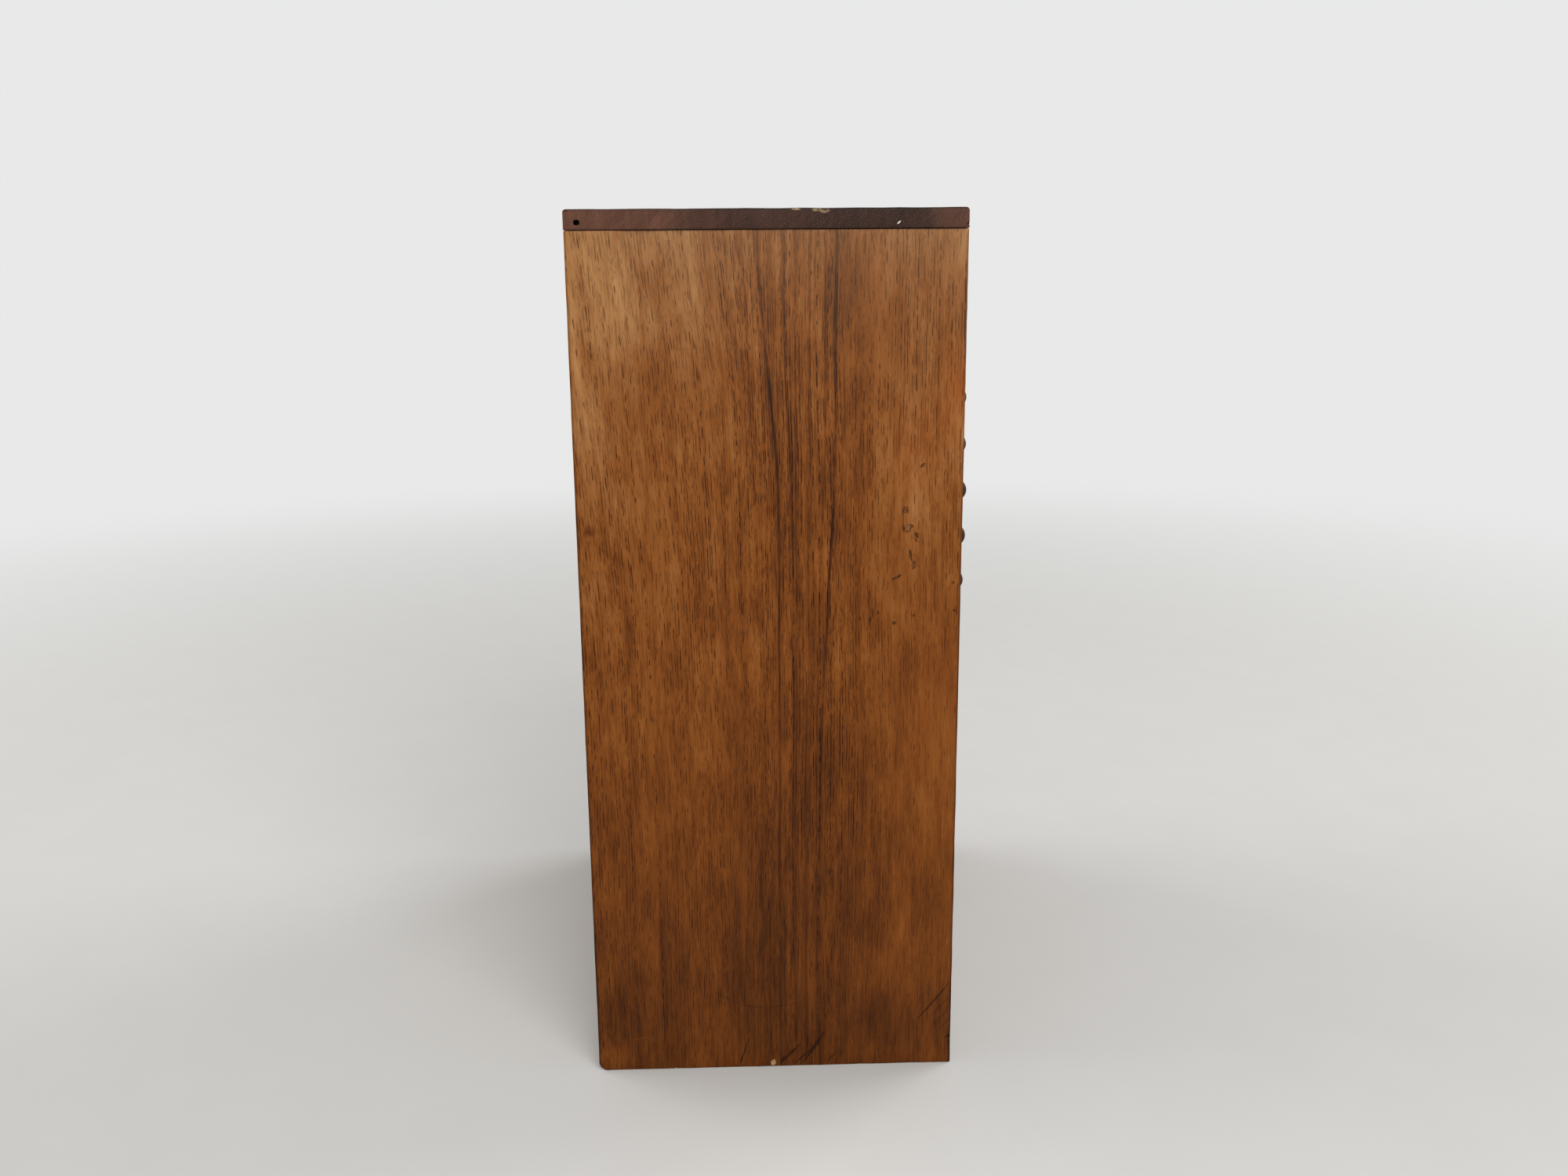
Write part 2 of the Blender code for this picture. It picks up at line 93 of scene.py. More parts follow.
class Paint:
    def __init__(self, name, owners=bpy.data.materials, shader="Principled BSDF"):
        self.material = owners.new(name)
        self.material.use_nodes = True
        self.tree = self.material.node_tree
        self.shader = self.tree.nodes[shader]

    def add(self, kind, settings, sockets, output=0):
        node = self.tree.nodes.new(kind)
        for key, value in settings.items():
            if key == "stops":
                ramp = node.color_ramp
                while len(ramp.elements) < len(value):
                    ramp.elements.new(1)
                for element, (place, colour) in zip(ramp.elements, value):
                    element.position = place
                    element.color = colour
            else:
                setattr(node, key, value)
        for key, value in sockets.items():
            if isinstance(value, Wire):
                self.tree.links.new(value.socket, node.inputs[key])
            else:
                node.inputs[key].default_value = value
        return Wire(self, node.outputs[output])

    def place(self):  # x, y and z on the piece, in mm
        spot = self.add("ShaderNodeTexCoord", {}, {}, "Object")
        parts = self.add("ShaderNodeSeparateXYZ", {}, {0: spot})
        sockets = parts.socket.node.outputs
        return [Wire(self, socket) * perMetre for socket in sockets]

    def point(self, *parts):
        return self.add("ShaderNodeCombineXYZ", {}, dict(enumerate(parts)))

    def noise(self, across, along, through, detail=2, roughness=0.5):
        spot = self.point(across, along, through)
        sockets = {"Vector": spot, "Scale": 1, "Detail": detail, "Roughness": roughness}
        return self.add("ShaderNodeTexNoise", {}, sockets)

    def rise(self, value, low, high, start=0, end=1):  # smooth step from start to end
        sockets = {"Value": value, 1: low, 2: high, 3: start, 4: end}
        return self.add("ShaderNodeMapRange", {"interpolation_type": "SMOOTHSTEP"}, sockets)

    def hump(self, value, middle, reach):  # 1 in the middle, 0 beyond its reach
        return self.rise(abs(value - middle), 0, reach, 1, 0)

    def mix(self, amount, first, second, blend="MIX"):
        settings = {"data_type": "RGBA", "blend_type": blend}
        return self.add("ShaderNodeMix", settings, {0: amount, 6: first, 7: second}, 2)

    def ramp(self, value, stops):
        colours = [(place, srgb(*colour)) for place, colour in stops]
        return self.add("ShaderNodeValToRGB", {"stops": colours}, {0: value})

    def vectors(self, operation, first, second, output=0):
        return self.add("ShaderNodeVectorMath", {"operation": operation}, {0: first, 1: second}, output)

    def least(self, first, second):
        return self.add("ShaderNodeMath", {"operation": "MINIMUM"}, {0: first, 1: second})

    def spot(self, flat, middle, reach, core=0.15):  # a soft patch; reach is half its width and height
        away = self.vectors("SUBTRACT", flat, (*middle, 0))
        share = self.vectors("DIVIDE", away, (*reach, 1))
        size = self.add("ShaderNodeVectorMath", {"operation": "LENGTH"}, {0: share}, "Value")
        return self.rise(size, core, 1, 1, 0)

    def stroke(self, flat, start, end, width, thin=0.7, core=0.35):  # a mark that thins at its ends
        run = Vector((*end, 0)) - Vector((*start, 0))
        away = self.vectors("SUBTRACT", flat, (*start, 0))
        share = self.vectors("DOT_PRODUCT", away, run / run.length_squared, "Value")
        held = self.add("ShaderNodeClamp", {}, {0: share})
        nearest = self.add("ShaderNodeVectorMath", {"operation": "SCALE"}, {0: run, "Scale": held})
        gap = self.vectors("DISTANCE", away, nearest, "Value")
        swell = 1 - abs(held * 2 - 1) * thin
        return self.rise(gap / (swell * width), core, 1, 1, 0)

    def backed(self, output, plain, share=1):  # cameras and mirrors see plain, and the light stays
        kinds = ("Is Camera Ray", "Is Glossy Ray", "Is Transmission Ray")
        first, second, third = [self.add("ShaderNodeLightPath", {}, {}, kind) for kind in kinds]
        seen = first + second + third
        lit = Wire(self, self.shader.outputs[0])
        both = self.add("ShaderNodeMixShader", {}, {0: seen * share, 1: lit, 2: plain})
        self.tree.links.new(both.socket, self.tree.nodes[output].inputs[0])

    def finish(self, colour, roughness, height, depth, gloss=0.1):
        self.shader.inputs["Specular IOR Level"].default_value = gloss
        sockets = {"Height": height, "Distance": depth, "Strength": 1}
        bump = self.add("ShaderNodeBump", {}, sockets, "Normal")
        for key, wire in (("Base Color", colour), ("Roughness", roughness), ("Normal", bump)):
            self.tree.links.new(wire.socket, self.shader.inputs[key])
        return self.material


def srgb(red, green, blue):  # a colour as a picture shows it, 0 to 255, made linear
    linear = []
    for part in (red, green, blue):
        share = part / 255
        linear.append(share / 12.92 if share <= 0.04045 else ((share + 0.055) / 1.055) ** 2.4)
    return (*linear, 1)


# modelling helpers

def noneSelected():
    bpy.ops.object.select_all(action="DESELECT")


def soloSelect(piece):
    noneSelected()
    piece.select_set(True)
    bpy.context.view_layer.objects.active = piece


def named(piece, name):
    piece.name = name
    piece.data.name = name
    return piece


def copied(piece, name, move):  # the copy's place is kept in its mesh
    twin = piece.copy()
    twin.data = piece.data.copy()
    bpy.context.scene.collection.objects.link(twin)
    twin.parent = None
    twin.data.transform(move)
    return named(twin, name)


def boxPiece(name, low, high):  # a cube brought to size, its place kept in its mesh
    noneSelected()
    low, high = Vector(low), Vector(high)
    bpy.ops.mesh.primitive_cube_add(size=1, location=(low + high) / 2)
    piece = named(bpy.context.object, name)
    piece.scale = high - low
    bpy.ops.object.transform_apply()
    return piece


def pick(piece, kind, test):  # selects edges or faces by the places of their points
    soloSelect(piece)
    bpy.ops.object.mode_set(mode="EDIT")
    bpy.ops.mesh.select_mode(type=kind)
    bpy.ops.mesh.select_all(action="DESELECT")
    objectMode()
    mesh = piece.data
    for part in mesh.edges if kind == "EDGE" else mesh.polygons:
        part.select = test([mesh.vertices[index].co for index in part.vertices])
    bpy.ops.object.mode_set(mode="EDIT")


def objectMode():
    bpy.ops.object.mode_set(mode="OBJECT")


def divide(piece, axis, cuts):  # rings of edges square to an axis
    others = [other for other in range(3) if other != axis]

    def along(points):
        step = points[1] - points[0]
        return abs(step[axis]) > apart and all(abs(step[other]) < near for other in others)

    pick(piece, "EDGE", along)
    bpy.ops.mesh.subdivide(number_cuts=cuts)
    objectMode()


def turned(name, stations, sides, seat, out):  # rings of radius and height in mm, stacked along y
    radius, height = stations[0]
    noneSelected()
    bpy.ops.mesh.primitive_circle_add(
        vertices=sides, radius=radius * mm, fill_type="NGON",
        location=seat + Vector((0, out * height * mm, 0)), rotation=(math.radians(-90 * out), 0, 0),
    )
    piece = named(bpy.context.object, name)
    bpy.ops.object.transform_apply()
    bpy.ops.object.mode_set(mode="EDIT")
    bpy.ops.mesh.select_all(action="SELECT")
    for nextRadius, nextHeight in stations[1:]:
        step = (0, out * (nextHeight - height) * mm, 0)
        bpy.ops.mesh.extrude_region_move(TRANSFORM_OT_translate={"value": step})
        share, middle = nextRadius / radius, seat + Vector((0, out * nextHeight * mm, 0))
        bpy.ops.transform.resize(value=(share, 1, share), center_override=middle)
        radius, height = nextRadius, nextHeight
    bpy.ops.mesh.select_all(action="SELECT")
    bpy.ops.mesh.normals_make_consistent(inside=False)
    objectMode()
    return piece


def sliceAt(piece, axis, place):  # one ring of edges square to an axis
    pick(piece, "FACE", lambda points: True)
    point, normal = [0, 0, 0], [0, 0, 0]
    point[axis], normal[axis] = place, 1
    bpy.ops.mesh.bisect(plane_co=point, plane_no=normal)
    objectMode()


def roundEdges(piece, low, high, width, steps, wanted=None):  # bevels the box's own edges
    def onCorner(points):
        sides = 0
        for axis in range(3):
            for face in (low[axis], high[axis]):
                sides += all(abs(point[axis] - face) < near for point in points)
        return sides >= 2 and (wanted is None or wanted(points))

    pick(piece, "EDGE", onCorner)
    bpy.ops.mesh.bevel(offset=width, segments=steps, profile=0.5, affect="EDGES")
    objectMode()


def applied(piece, kind, **settings):  # one modifier, set and applied
    soloSelect(piece)
    modifier = piece.modifiers.new(kind.lower(), kind)
    for key, value in settings.items():
        setattr(modifier, key, value)
    bpy.ops.object.modifier_apply(modifier=modifier.name)


def joined(pieces):
    noneSelected()
    for piece in pieces:
        piece.select_set(True)
    bpy.context.view_layer.objects.active = pieces[0]
    bpy.ops.object.join()
    return bpy.context.object


def cutAway(piece, cutters):  # takes the cutters' shapes out of a piece
    tool = joined(cutters) if len(cutters) > 1 else cutters[0]
    applied(piece, "BOOLEAN", operation="DIFFERENCE", solver="EXACT", object=tool)
    bpy.data.objects.remove(tool)


wearCloud = {"depth": 3, "level": 0.35}  # steps of detail, and the grey that stays in place


def wornBy(piece, depth, size, test):  # uneven wear, deepest where the cloud is light
    group = piece.vertex_groups.new(name="worn")
    worn = [vertex.index for vertex in piece.data.vertices if test(vertex.co)]
    group.add(worn, 1, "REPLACE")
    cloud = bpy.data.textures.new(piece.name + "Wear", "CLOUDS")
    cloud.noise_scale = size
    cloud.noise_depth = wearCloud["depth"]
    applied(
        piece, "DISPLACE", texture=cloud, texture_coords="LOCAL", strength=-depth,
        mid_level=wearCloud["level"], vertex_group="worn",
    )
    piece.vertex_groups.clear()


pebbleShape = {"steps": 2, "uneven": 0.3}


def pebble(place, reach, turn, seed):  # an uneven squashed ball for gouges and chips
    noneSelected()
    bpy.ops.mesh.primitive_ico_sphere_add(
        subdivisions=pebbleShape["steps"], radius=1, location=(0, 0, 0),
    )
    ball = bpy.context.object
    bpy.ops.object.mode_set(mode="EDIT")
    bpy.ops.mesh.select_all(action="SELECT")
    bpy.ops.transform.vertex_random(offset=pebbleShape["uneven"], seed=seed, normal=1)
    objectMode()
    ball.scale = reach
    ball.rotation_euler = (turn, 0, 0)
    ball.location = place
    bpy.ops.object.transform_apply()
    return ball


def cutMarks(piece, marks, face, seed):  # gouges in a face square to x; places in mm from back and top
    for number, (back, down, halfWide, halfHigh, deep, turn) in enumerate(marks):
        place = (face, caseBack - back * mm, cadBox[1][2] - down * mm)
        reach = (deep * mm, halfWide * mm, halfHigh * mm)
        cutAway(piece, [pebble(place, reach, math.radians(turn), seed + number)])


def smoothed(piece, degrees):
    soloSelect(piece)
    bpy.ops.object.shade_smooth_by_angle(angle=math.radians(degrees))


def settle(piece, node, body, material):  # rides, replaces and is painted
    piece.data.materials.clear()
    piece.data.materials.append(material)
    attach(piece, body)
    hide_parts(node)


# wood: fibres and pores run along one axis, and lanes are the lines that they follow

poreShape = {  # a pair is the least value and its spread, in shares of a lane or of a pore
    "pore": (1.5, 9.5, 0), "fleck": (0.82, 5, 300.5),  # lane width and length in mm, shift
    "side": (0.28, 0.44), "thick": (0.13, 0.17), "strong": (0.4, 0.6), "run": (0.5, 0.8),
    "core": 0.25, "shuffle": 900, "detail": 1.5, "gaps": (0.42, 0.62),
}
grainNoise = {  # repeats per mm across and along the grain, shift, detail, roughness
    "drift": (0.012, 0.005, 0, 2, 0.5),
    "cloud": (0.03, 0.012, 0, 3, 0.55),
    "field": (0.06, 0.012, 0, 2, 0.5),
    "clump": (0.3, 0.035, 9, 2, 0.5),
    "bundle": (0.55, 0.1, 40, 2, 0.6),
    "vein": (0.9, 0.028, 17, 2, 0.6),
    "streak": (0.42, 0.006, 0, 2, 0.65),
    "figure": (0.07, 0.003, 0, 2, 0.6),
    "fibre": (1.7, 0.055, 80, 3, 0.65),
}
grainMix = {
    "slide": 0.43, "fibreSlide": 3.1,  # keep the noise cells from lining up across the board
    "depthShift": 0.83, "wave": 1.2,  # the pores differ with depth and wave a little
    "crowd": {"field": 0.4, "clump": 0.32, "bundle": 0.3},
    "dense": {"field": 0.4, "clump": 0.4, "bundle": 0.2},
    "fibreTone": 0.36, "denseTone": 0.7, "fleckTone": 0.75, "mostPore": 0.95,
    "poreRough": 0.15, "fleckRelief": 0.5, "poreDeep": 0.12 * mm,
}


def spread(wire, pair):
    return wire * pair[1] + pair[0]


def poreLines(paint, lane, along, dense, width, length, shift):  # fine dark dashes, one to a lane
    scaled = lane * (1 / width) + shift
    cell = paint.add("ShaderNodeMath", {"operation": "FLOOR"}, {0: scaled})
    draw = paint.add("ShaderNodeTexWhiteNoise", {"noise_dimensions": "1D"}, {"W": cell}, "Color")
    parts = paint.add("ShaderNodeSeparateColor", {}, {0: draw}).socket.node.outputs
    first, second, third = [Wire(paint, part) for part in parts]
    offset = abs(scaled - cell - spread(first, poreShape["side"]))
    line = paint.rise(offset / spread(second, poreShape["thick"]), poreShape["core"], 1, 1, 0)
    run = along * spread(third, poreShape["run"]) * (1 / length) + first * poreShape["shuffle"]
    sockets = {"W": run, "Scale": 1, "Detail": poreShape["detail"]}
    dash = paint.add("ShaderNodeTexNoise", {"noise_dimensions": "1D"}, sockets)
    return line * spread(third, poreShape["strong"]) * paint.rise(dash + dense, *poreShape["gaps"])


def grainPattern(paint, key, lane, along, far, size=1):
    wide, tall, shift, detail, rough = grainNoise[key]
    return paint.noise(lane * (wide / size) + shift, along * tall, far * wide, detail, rough)


def woodGrain(paint, lane, along, far, size=1):
    slid = along + lane * grainMix["slide"]
    grain = {}
    for key in ("field", "clump", "bundle", "vein", "streak", "figure"):
        grain[key] = grainPattern(paint, key, lane, slid, far)
    grain["fibre"] = grainPattern(paint, "fibre", lane, along + lane * grainMix["fibreSlide"], far, size)
    crowd = sum((grain[key] - 0.5) * share for key, share in grainMix["crowd"].items())
    strip = lane + far * grainMix["depthShift"] + grain["bundle"] * grainMix["wave"]
    for key in ("pore", "fleck"):
        width, length, shift = poreShape[key]
        grain[key] = poreLines(paint, strip, along, crowd, width * size, length * size, shift)
    grain["dense"] = sum(grain[key] * share for key, share in grainMix["dense"].items())
    return grain


def woodColour(paint, grain, tone, stops, poreColour, poreDepth):  # tone runs from 0, dark, to 1
    tone = tone + (grain["fibre"] - 0.5) * grainMix["fibreTone"]
    base = paint.ramp(tone - (grain["dense"] - 0.5) * grainMix["denseTone"], stops)
    dark = (grain["pore"] + grain["fleck"] * grainMix["fleckTone"]) * poreDepth
    return paint.mix(paint.least(dark, grainMix["mostPore"]), base, srgb(*poreColour), "MULTIPLY")


def grainTone(grain, cloud, tone, figure, cloudy, streak):
    return tone + (grain["figure"] - 0.5) * figure + cloud * cloudy + (grain["streak"] - 0.5) * streak


def dulled(grain, cloud, rough, cloudy):
    return rough + grain["pore"] * grainMix["poreRough"] + cloud * cloudy


def poreRelief(grain):  # pores lie below the face
    return 0 - grain["pore"] - grain["fleck"] * grainMix["fleckRelief"]


sideStops = [  # tone, and its colour
    (0, (52, 23, 4)), (0.25, (90, 46, 11)), (0.45, (116, 62, 18)), (0.6, (134, 77, 29)),
    (0.75, (148, 95, 50)), (1, (178, 129, 79)),
]
sidePaint = {  # what both sides share; places are mm down from the top or mm in from the outer face
    "through": 0.4, "lineDrift": 4, "climb": (-200, 660), "fade": (0, 460, 1, 0.3),
    "patches": (200, 380, 0.5, 0.34), "figure": 0.26, "streak": (0.12, 0.26),
    "vein": (0.5, 0.68), "veinDark": (0.04, 0.2), "broken": (0.36, 0.54, 0.3, 1),
    "lineCore": 0.25, "lineThin": 0.4, "halo": 0.26, "haloReach": 4, "ragged": (1.6, 2),
    "cornerRim": (0.2, 1.6, 1, 0), "cornerDeep": (0.4, 1.6, 1, 0), "cornerDark": 0.3,
    "finer": 0.3, "finerDown": (70, 190), "openDown": (160, 430, 1, 0.66),
    "open": 0.95, "openHeart": 0.5, "openLines": 2, "lift": 0.02, "sheenAcross": (0, 60),
    # the dark in the gouges is partly dirt, partly painted shade
    "dirtShadeDeep": (0.03, 0.2), "dirtShadeRim": (0.5, 1.5), "dirtShadeShare": 0.75, "dirtAndShade": (50, 25, 10),
    "bareDeep": (0.3, 0.66), "bareRim": (1.6, 2.4), "bareShare": 0.56, "bareFray": 0.3, "bareRough": 0.2,
    "bare": [(0.3, (128, 84, 46)), (0.7, (174, 130, 84))], "pore": (110, 89, 71), "glow": (154, 84, 34),
    "splitFrom": (0.1, 0.4), "splitTo": (1.4, 1.8, 1, 0), "splitRim": (4, 8),
    "splitDown": (452, 454), "splitShare": 0.85, "split": (178, 146, 104), "rough": (0.5, 0.15),
}


def sideWood(name, look):  # upright boards of the case, open pored, paler at the top
    paint, shared = Paint(name), sidePaint
    x, y, z = paint.place()
    back, down = look["back"] - y, look["top"] - z
    far = x * shared["through"] + look["seed"]
    flat = paint.point(back, down)
    bowed = 1 - decay ** (down * (-1 / look["leanDrop"]))
    bend = bowed * (look["lean"] * look["leanDrop"])
    drift = grainPattern(paint, "drift", back, down, far) - 0.5
    lane = back - bend * paint.rise(back, *look["leanFade"], 1, 0) + drift * look["wander"]
    grain = woodGrain(paint, lane, down, far)
    fray = grain["fibre"] - 0.5
    slant = back - down * look["cloudSlant"]
    cloud = paint.noise(slant * 0.052 + 31, down * 0.019 + back * 0.014, far * 0.03, 3, 0.55) - 0.5
    heart = paint.hump(lane, look["heart"], look["heartReach"])
    # paler towards the top: partly the wood's own tone, partly painted light falling from above
    tone = paint.rise(down, *shared["climb"], *look["climb"])
    fade = paint.rise(down, *shared["fade"])
    patches = cloud * paint.rise(down, *shared["patches"])
    tone = tone + (grain["figure"] - 0.5) * shared["figure"] + patches - heart * fade * look["heartDark"]
    tone = tone + (grain["streak"] - 0.5) * spread(heart, shared["streak"])
    tone = tone - paint.rise(grain["vein"], *shared["vein"]) * spread(heart * fade, shared["veinDark"])
    broken = paint.rise(grain["dense"], *shared["broken"])
    lined = 0
    for place, shift, start, end, width, strength in look["lines"]:  # long dark lines in the heart
        offset = back + drift * shared["lineDrift"] - place - paint.rise(down, start, end, 0, shift)
        offset = abs(offset)
        thick = grain["streak"] * width + width * shared["lineThin"]
        core = paint.rise(offset / thick, shared["lineCore"], 1, strength, 0)
        halo = paint.rise(offset, 0, width * shared["haloReach"], strength * shared["halo"], 0)
        tone = tone - (core * broken + halo) * fade
        lined = lined + core
    for *spot, strength in look["stains"]:
        tone = tone - paint.spot(flat, spot[:2], spot[2:]) * strength
    frayed, strayed = shared["ragged"]
    ragged = paint.vectors("ADD", flat, paint.point(fray * frayed, cloud * strayed))
    # dark strokes: scratches, and painted shade around the dents
    for *ends, width, strength in look["scratchesAndShade"]:
        tone = tone - paint.stroke(ragged, ends[:2], ends[2:], width) * strength
    rim = paint.least(back, look["depth"] - back)
    deep = abs(x * look["hand"] - look["face"])  # how far a point lies inside the outer face
    corner = paint.rise(rim + cloud, *shared["cornerRim"]) * paint.rise(deep, *shared["cornerDeep"])
    tone = tone - corner * shared["cornerDark"]
    finer = paint.rise(back, *look["fineFrom"], 0, shared["finer"])
    finer = finer * paint.rise(down, *shared["finerDown"])
    openness = (1 - finer) * paint.rise(down, *shared["openDown"])
    wider = shared["open"] + heart * fade * shared["openHeart"] + lined * fade * shared["openLines"]
    openness = openness * wider
    colour = woodColour(paint, grain, tone + shared["lift"], sideStops, shared["pore"], openness)
    # painted sheen: near the top the colour is mixed towards a pale grey, most towards the front
    paintedSheen = paint.rise(back, *shared["sheenAcross"], *look["paintedSheen"])
    paintedSheen = decay ** (down * (-1 / look["sheenDrop"])) * paintedSheen
    colour = paint.mix(paintedSheen, colour, srgb(*look["sheenTone"]))
    for *spot, strength in look["glow"]:  # where handling has left the wood more orange
        glow = paint.spot(flat, spot[:2], spot[2:]) * strength
        colour = paint.mix(glow, colour, srgb(*shared["glow"]))
    # darker inside the gouges, most where they are shallow at their rims: partly dirt, partly painted shade
    # in the dents
    dirtAndShade = paint.rise(deep, *shared["dirtShadeDeep"]) * paint.rise(rim, *shared["dirtShadeRim"])
    bare = paint.rise(deep + fray * shared["bareFray"], *shared["bareDeep"])
    bare = bare * paint.rise(rim, *shared["bareRim"])
    colour = paint.mix(dirtAndShade * shared["dirtShadeShare"], colour, srgb(*shared["dirtAndShade"]))
    colour = paint.mix(bare * shared["bareShare"], colour, paint.ramp(grain["fibre"], shared["bare"]))
    split = paint.rise(deep, *shared["splitFrom"]) * paint.rise(deep, *shared["splitTo"])
    split = split * paint.rise(rim, *shared["splitRim"]) * paint.rise(down, *shared["splitDown"])
    split = split * shared["splitShare"]  # pale wood where the foot has chipped
    colour = paint.mix(split, colour, srgb(*shared["split"]))
    dull = dulled(grain, cloud, *shared["rough"]) + bare * shared["bareRough"]
    return paint.finish(colour, dull, poreRelief(grain), grainMix["poreDeep"])


darkStops = [(0, (38, 24, 19)), (0.4, (64, 43, 35)), (0.75, (94, 63, 50)), (1, (118, 80, 60))]
frontStops = [(0, (58, 27, 10)), (0.4, (98, 52, 20)), (0.7, (126, 71, 30)), (1, (156, 102, 56))]
paleStops = [(0, (128, 92, 58)), (0.4, (164, 126, 84)), (0.75, (188, 152, 108)), (1, (206, 174, 130))]
backStops = [(0, (96, 62, 36)), (0.4, (128, 88, 54)), (0.75, (150, 108, 70)), (1, (172, 130, 90))]
plainPaint = {
    "figure": 0.36, "streak": 0.3, "pores": 0.9, "cloudRough": 0.12, "foot": (-20, 70), "footDrift": 90,
    "patch": (0.54, 0.74), "patchSize": 0.021, "bareFibre": 0.3, "bareReach": 7, "bareDrift": 6,
    "bareShare": 0.8,
}


def plainWood(name, order, seed, stops, poreColour, look):  # every other board
    paint, shared = Paint(name), plainPaint
    axes = dict(zip("xyz", paint.place()))
    along, across, through = [axes[letter] for letter in order]
    far = through + seed
    drift = grainPattern(paint, "drift", across, along, far) - 0.5
    grain = woodGrain(paint, across + drift * look["wander"], along, far)
    cloud = grainPattern(paint, "cloud", across, along, far) - 0.5
    tone = grainTone(grain, cloud, look["tone"], shared["figure"], look["cloud"], shared["streak"])
    if "foot" in look:  # damp has darkened the wood near the floor
        height = axes["z"] + cloud * shared["footDrift"]
        tone = tone - paint.rise(height, *shared["foot"], look["foot"], 0)
    if "worn" in look:  # handling has darkened patches
        x, y, z = [axes[letter] * shared["patchSize"] for letter in "xyz"]
        patch = paint.noise(x, y, z + seed, 4, 0.6)
        tone = tone - paint.rise(patch, *shared["patch"], 0, look["worn"])
    colour = woodColour(paint, grain, tone, stops, poreColour, shared["pores"])
    if "bareFrom" in look:  # only the front edge was stained
        bare = paint.ramp(tone + (grain["fibre"] - 0.5) * shared["bareFibre"], paleStops)
        start, end = look["bareFrom"], look["bareFrom"] + shared["bareReach"]
        inside = paint.rise(axes["y"] + cloud * shared["bareDrift"], start, end)
        colour = paint.mix(inside * shared["bareShare"], colour, bare)
    dull = dulled(grain, cloud, look["rough"], shared["cloudRough"])
    return paint.finish(colour, dull, poreRelief(grain), grainMix["poreDeep"])


print("wood recipes ready")


# the two sides of the case

sideBoard = {
    "edge": 0.7 * mm, "edgeSteps": 3, "wear": 0.35 * mm, "wearSize": 9 * mm, "wearReach": 3,
    "rings": 60, "columns": 26, "gap": 0.2 * mm, "runGap": 0.3 * mm, "frontGap": 0.6 * mm,
    "trayFloor": 3 * mm, "heel": 5.4 * mm, "heelSteps": 6, "guard": 2.6 * mm, "over": 2 * mm,
    "smooth": 30, "gougeSeed": 3,
}
shelfNames = ["bottom_board", "shelf_1", "shelf_2", "shelf_3", "shelf_4"]


def grooveCutters(hand):  # housings for the shelves, and grooves for the parts drawers' floors
    gap, runGap, over = sideBoard["gap"], sideBoard["runGap"], sideBoard["over"]
    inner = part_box("left_parts_drawer_1_front")[0].x - sideBoard["frontGap"]
    cutters = []
    column = "left" if hand < 0 else "right"

    def slot(reach, floor, ceiling, start):
        deep, mouth = hand * reach, hand * (abs(inner) - over)
        low = (min(deep, mouth), start, floor)
        high = (max(deep, mouth), cadBox[1][1] + over, ceiling)
        return boxPiece("cutter", low, high)

    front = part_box("left_side")[0].y - over
    for node in shelfNames:
        low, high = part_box(node)
        cutters.append(slot(high.x + gap, low.z - gap, high.z + gap, front))
    for row in range(1, 6):
        low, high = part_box(f"{column}_parts_drawer_{row}_tray")
        reach = max(abs(low.x), abs(high.x)) + runGap
        cutters.append(slot(reach, low.z - runGap, low.z + sideBoard["trayFloor"] + runGap, front))
    low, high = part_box("back_panel")
    rabbet = slot(high.x + runGap, -over, cadBox[1][2], low.y - gap)
    return [rabbet], cutters


def makeSide(name, node, hand):
    low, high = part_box(node)
    side = boxPiece(name, low, high)
    divide(side, 2, sideBoard["rings"])
    divide(side, 1, sideBoard["columns"])
    if hand < 0:  # the back corner at the foot is worn round
        pick(side, "EDGE", lambda points: all(
            abs(point.y - high.y) < near and abs(point.z - low.z) < near for point in points
        ))
        bpy.ops.mesh.bevel(
            offset=sideBoard["heel"], segments=sideBoard["heelSteps"], profile=0.5, affect="EDGES",
        )
        objectMode()
    for axis in range(3):  # rings that keep the wear off the inner face
        for place in (low[axis] + sideBoard["guard"], high[axis] - sideBoard["guard"]):
            sliceAt(side, axis, place)
    roundEdges(side, low, high, sideBoard["edge"], sideBoard["edgeSteps"])
    reach = sideBoard["wearReach"] * sideBoard["edge"]
    outer = max(low.x * hand, high.x * hand)

    def nearEdge(point):  # only along the outer face, so that the grooves are cut into flat faces
        inside = min(min(point[axis] - low[axis], high[axis] - point[axis]) for axis in (1, 2))
        return inside < reach and outer - point.x * hand < reach

    wornBy(side, sideBoard["wear"], sideBoard["wearSize"], nearEdge)
    rabbet, housings = grooveCutters(hand)
    cutAway(side, rabbet)
    cutAway(side, housings)
    return side


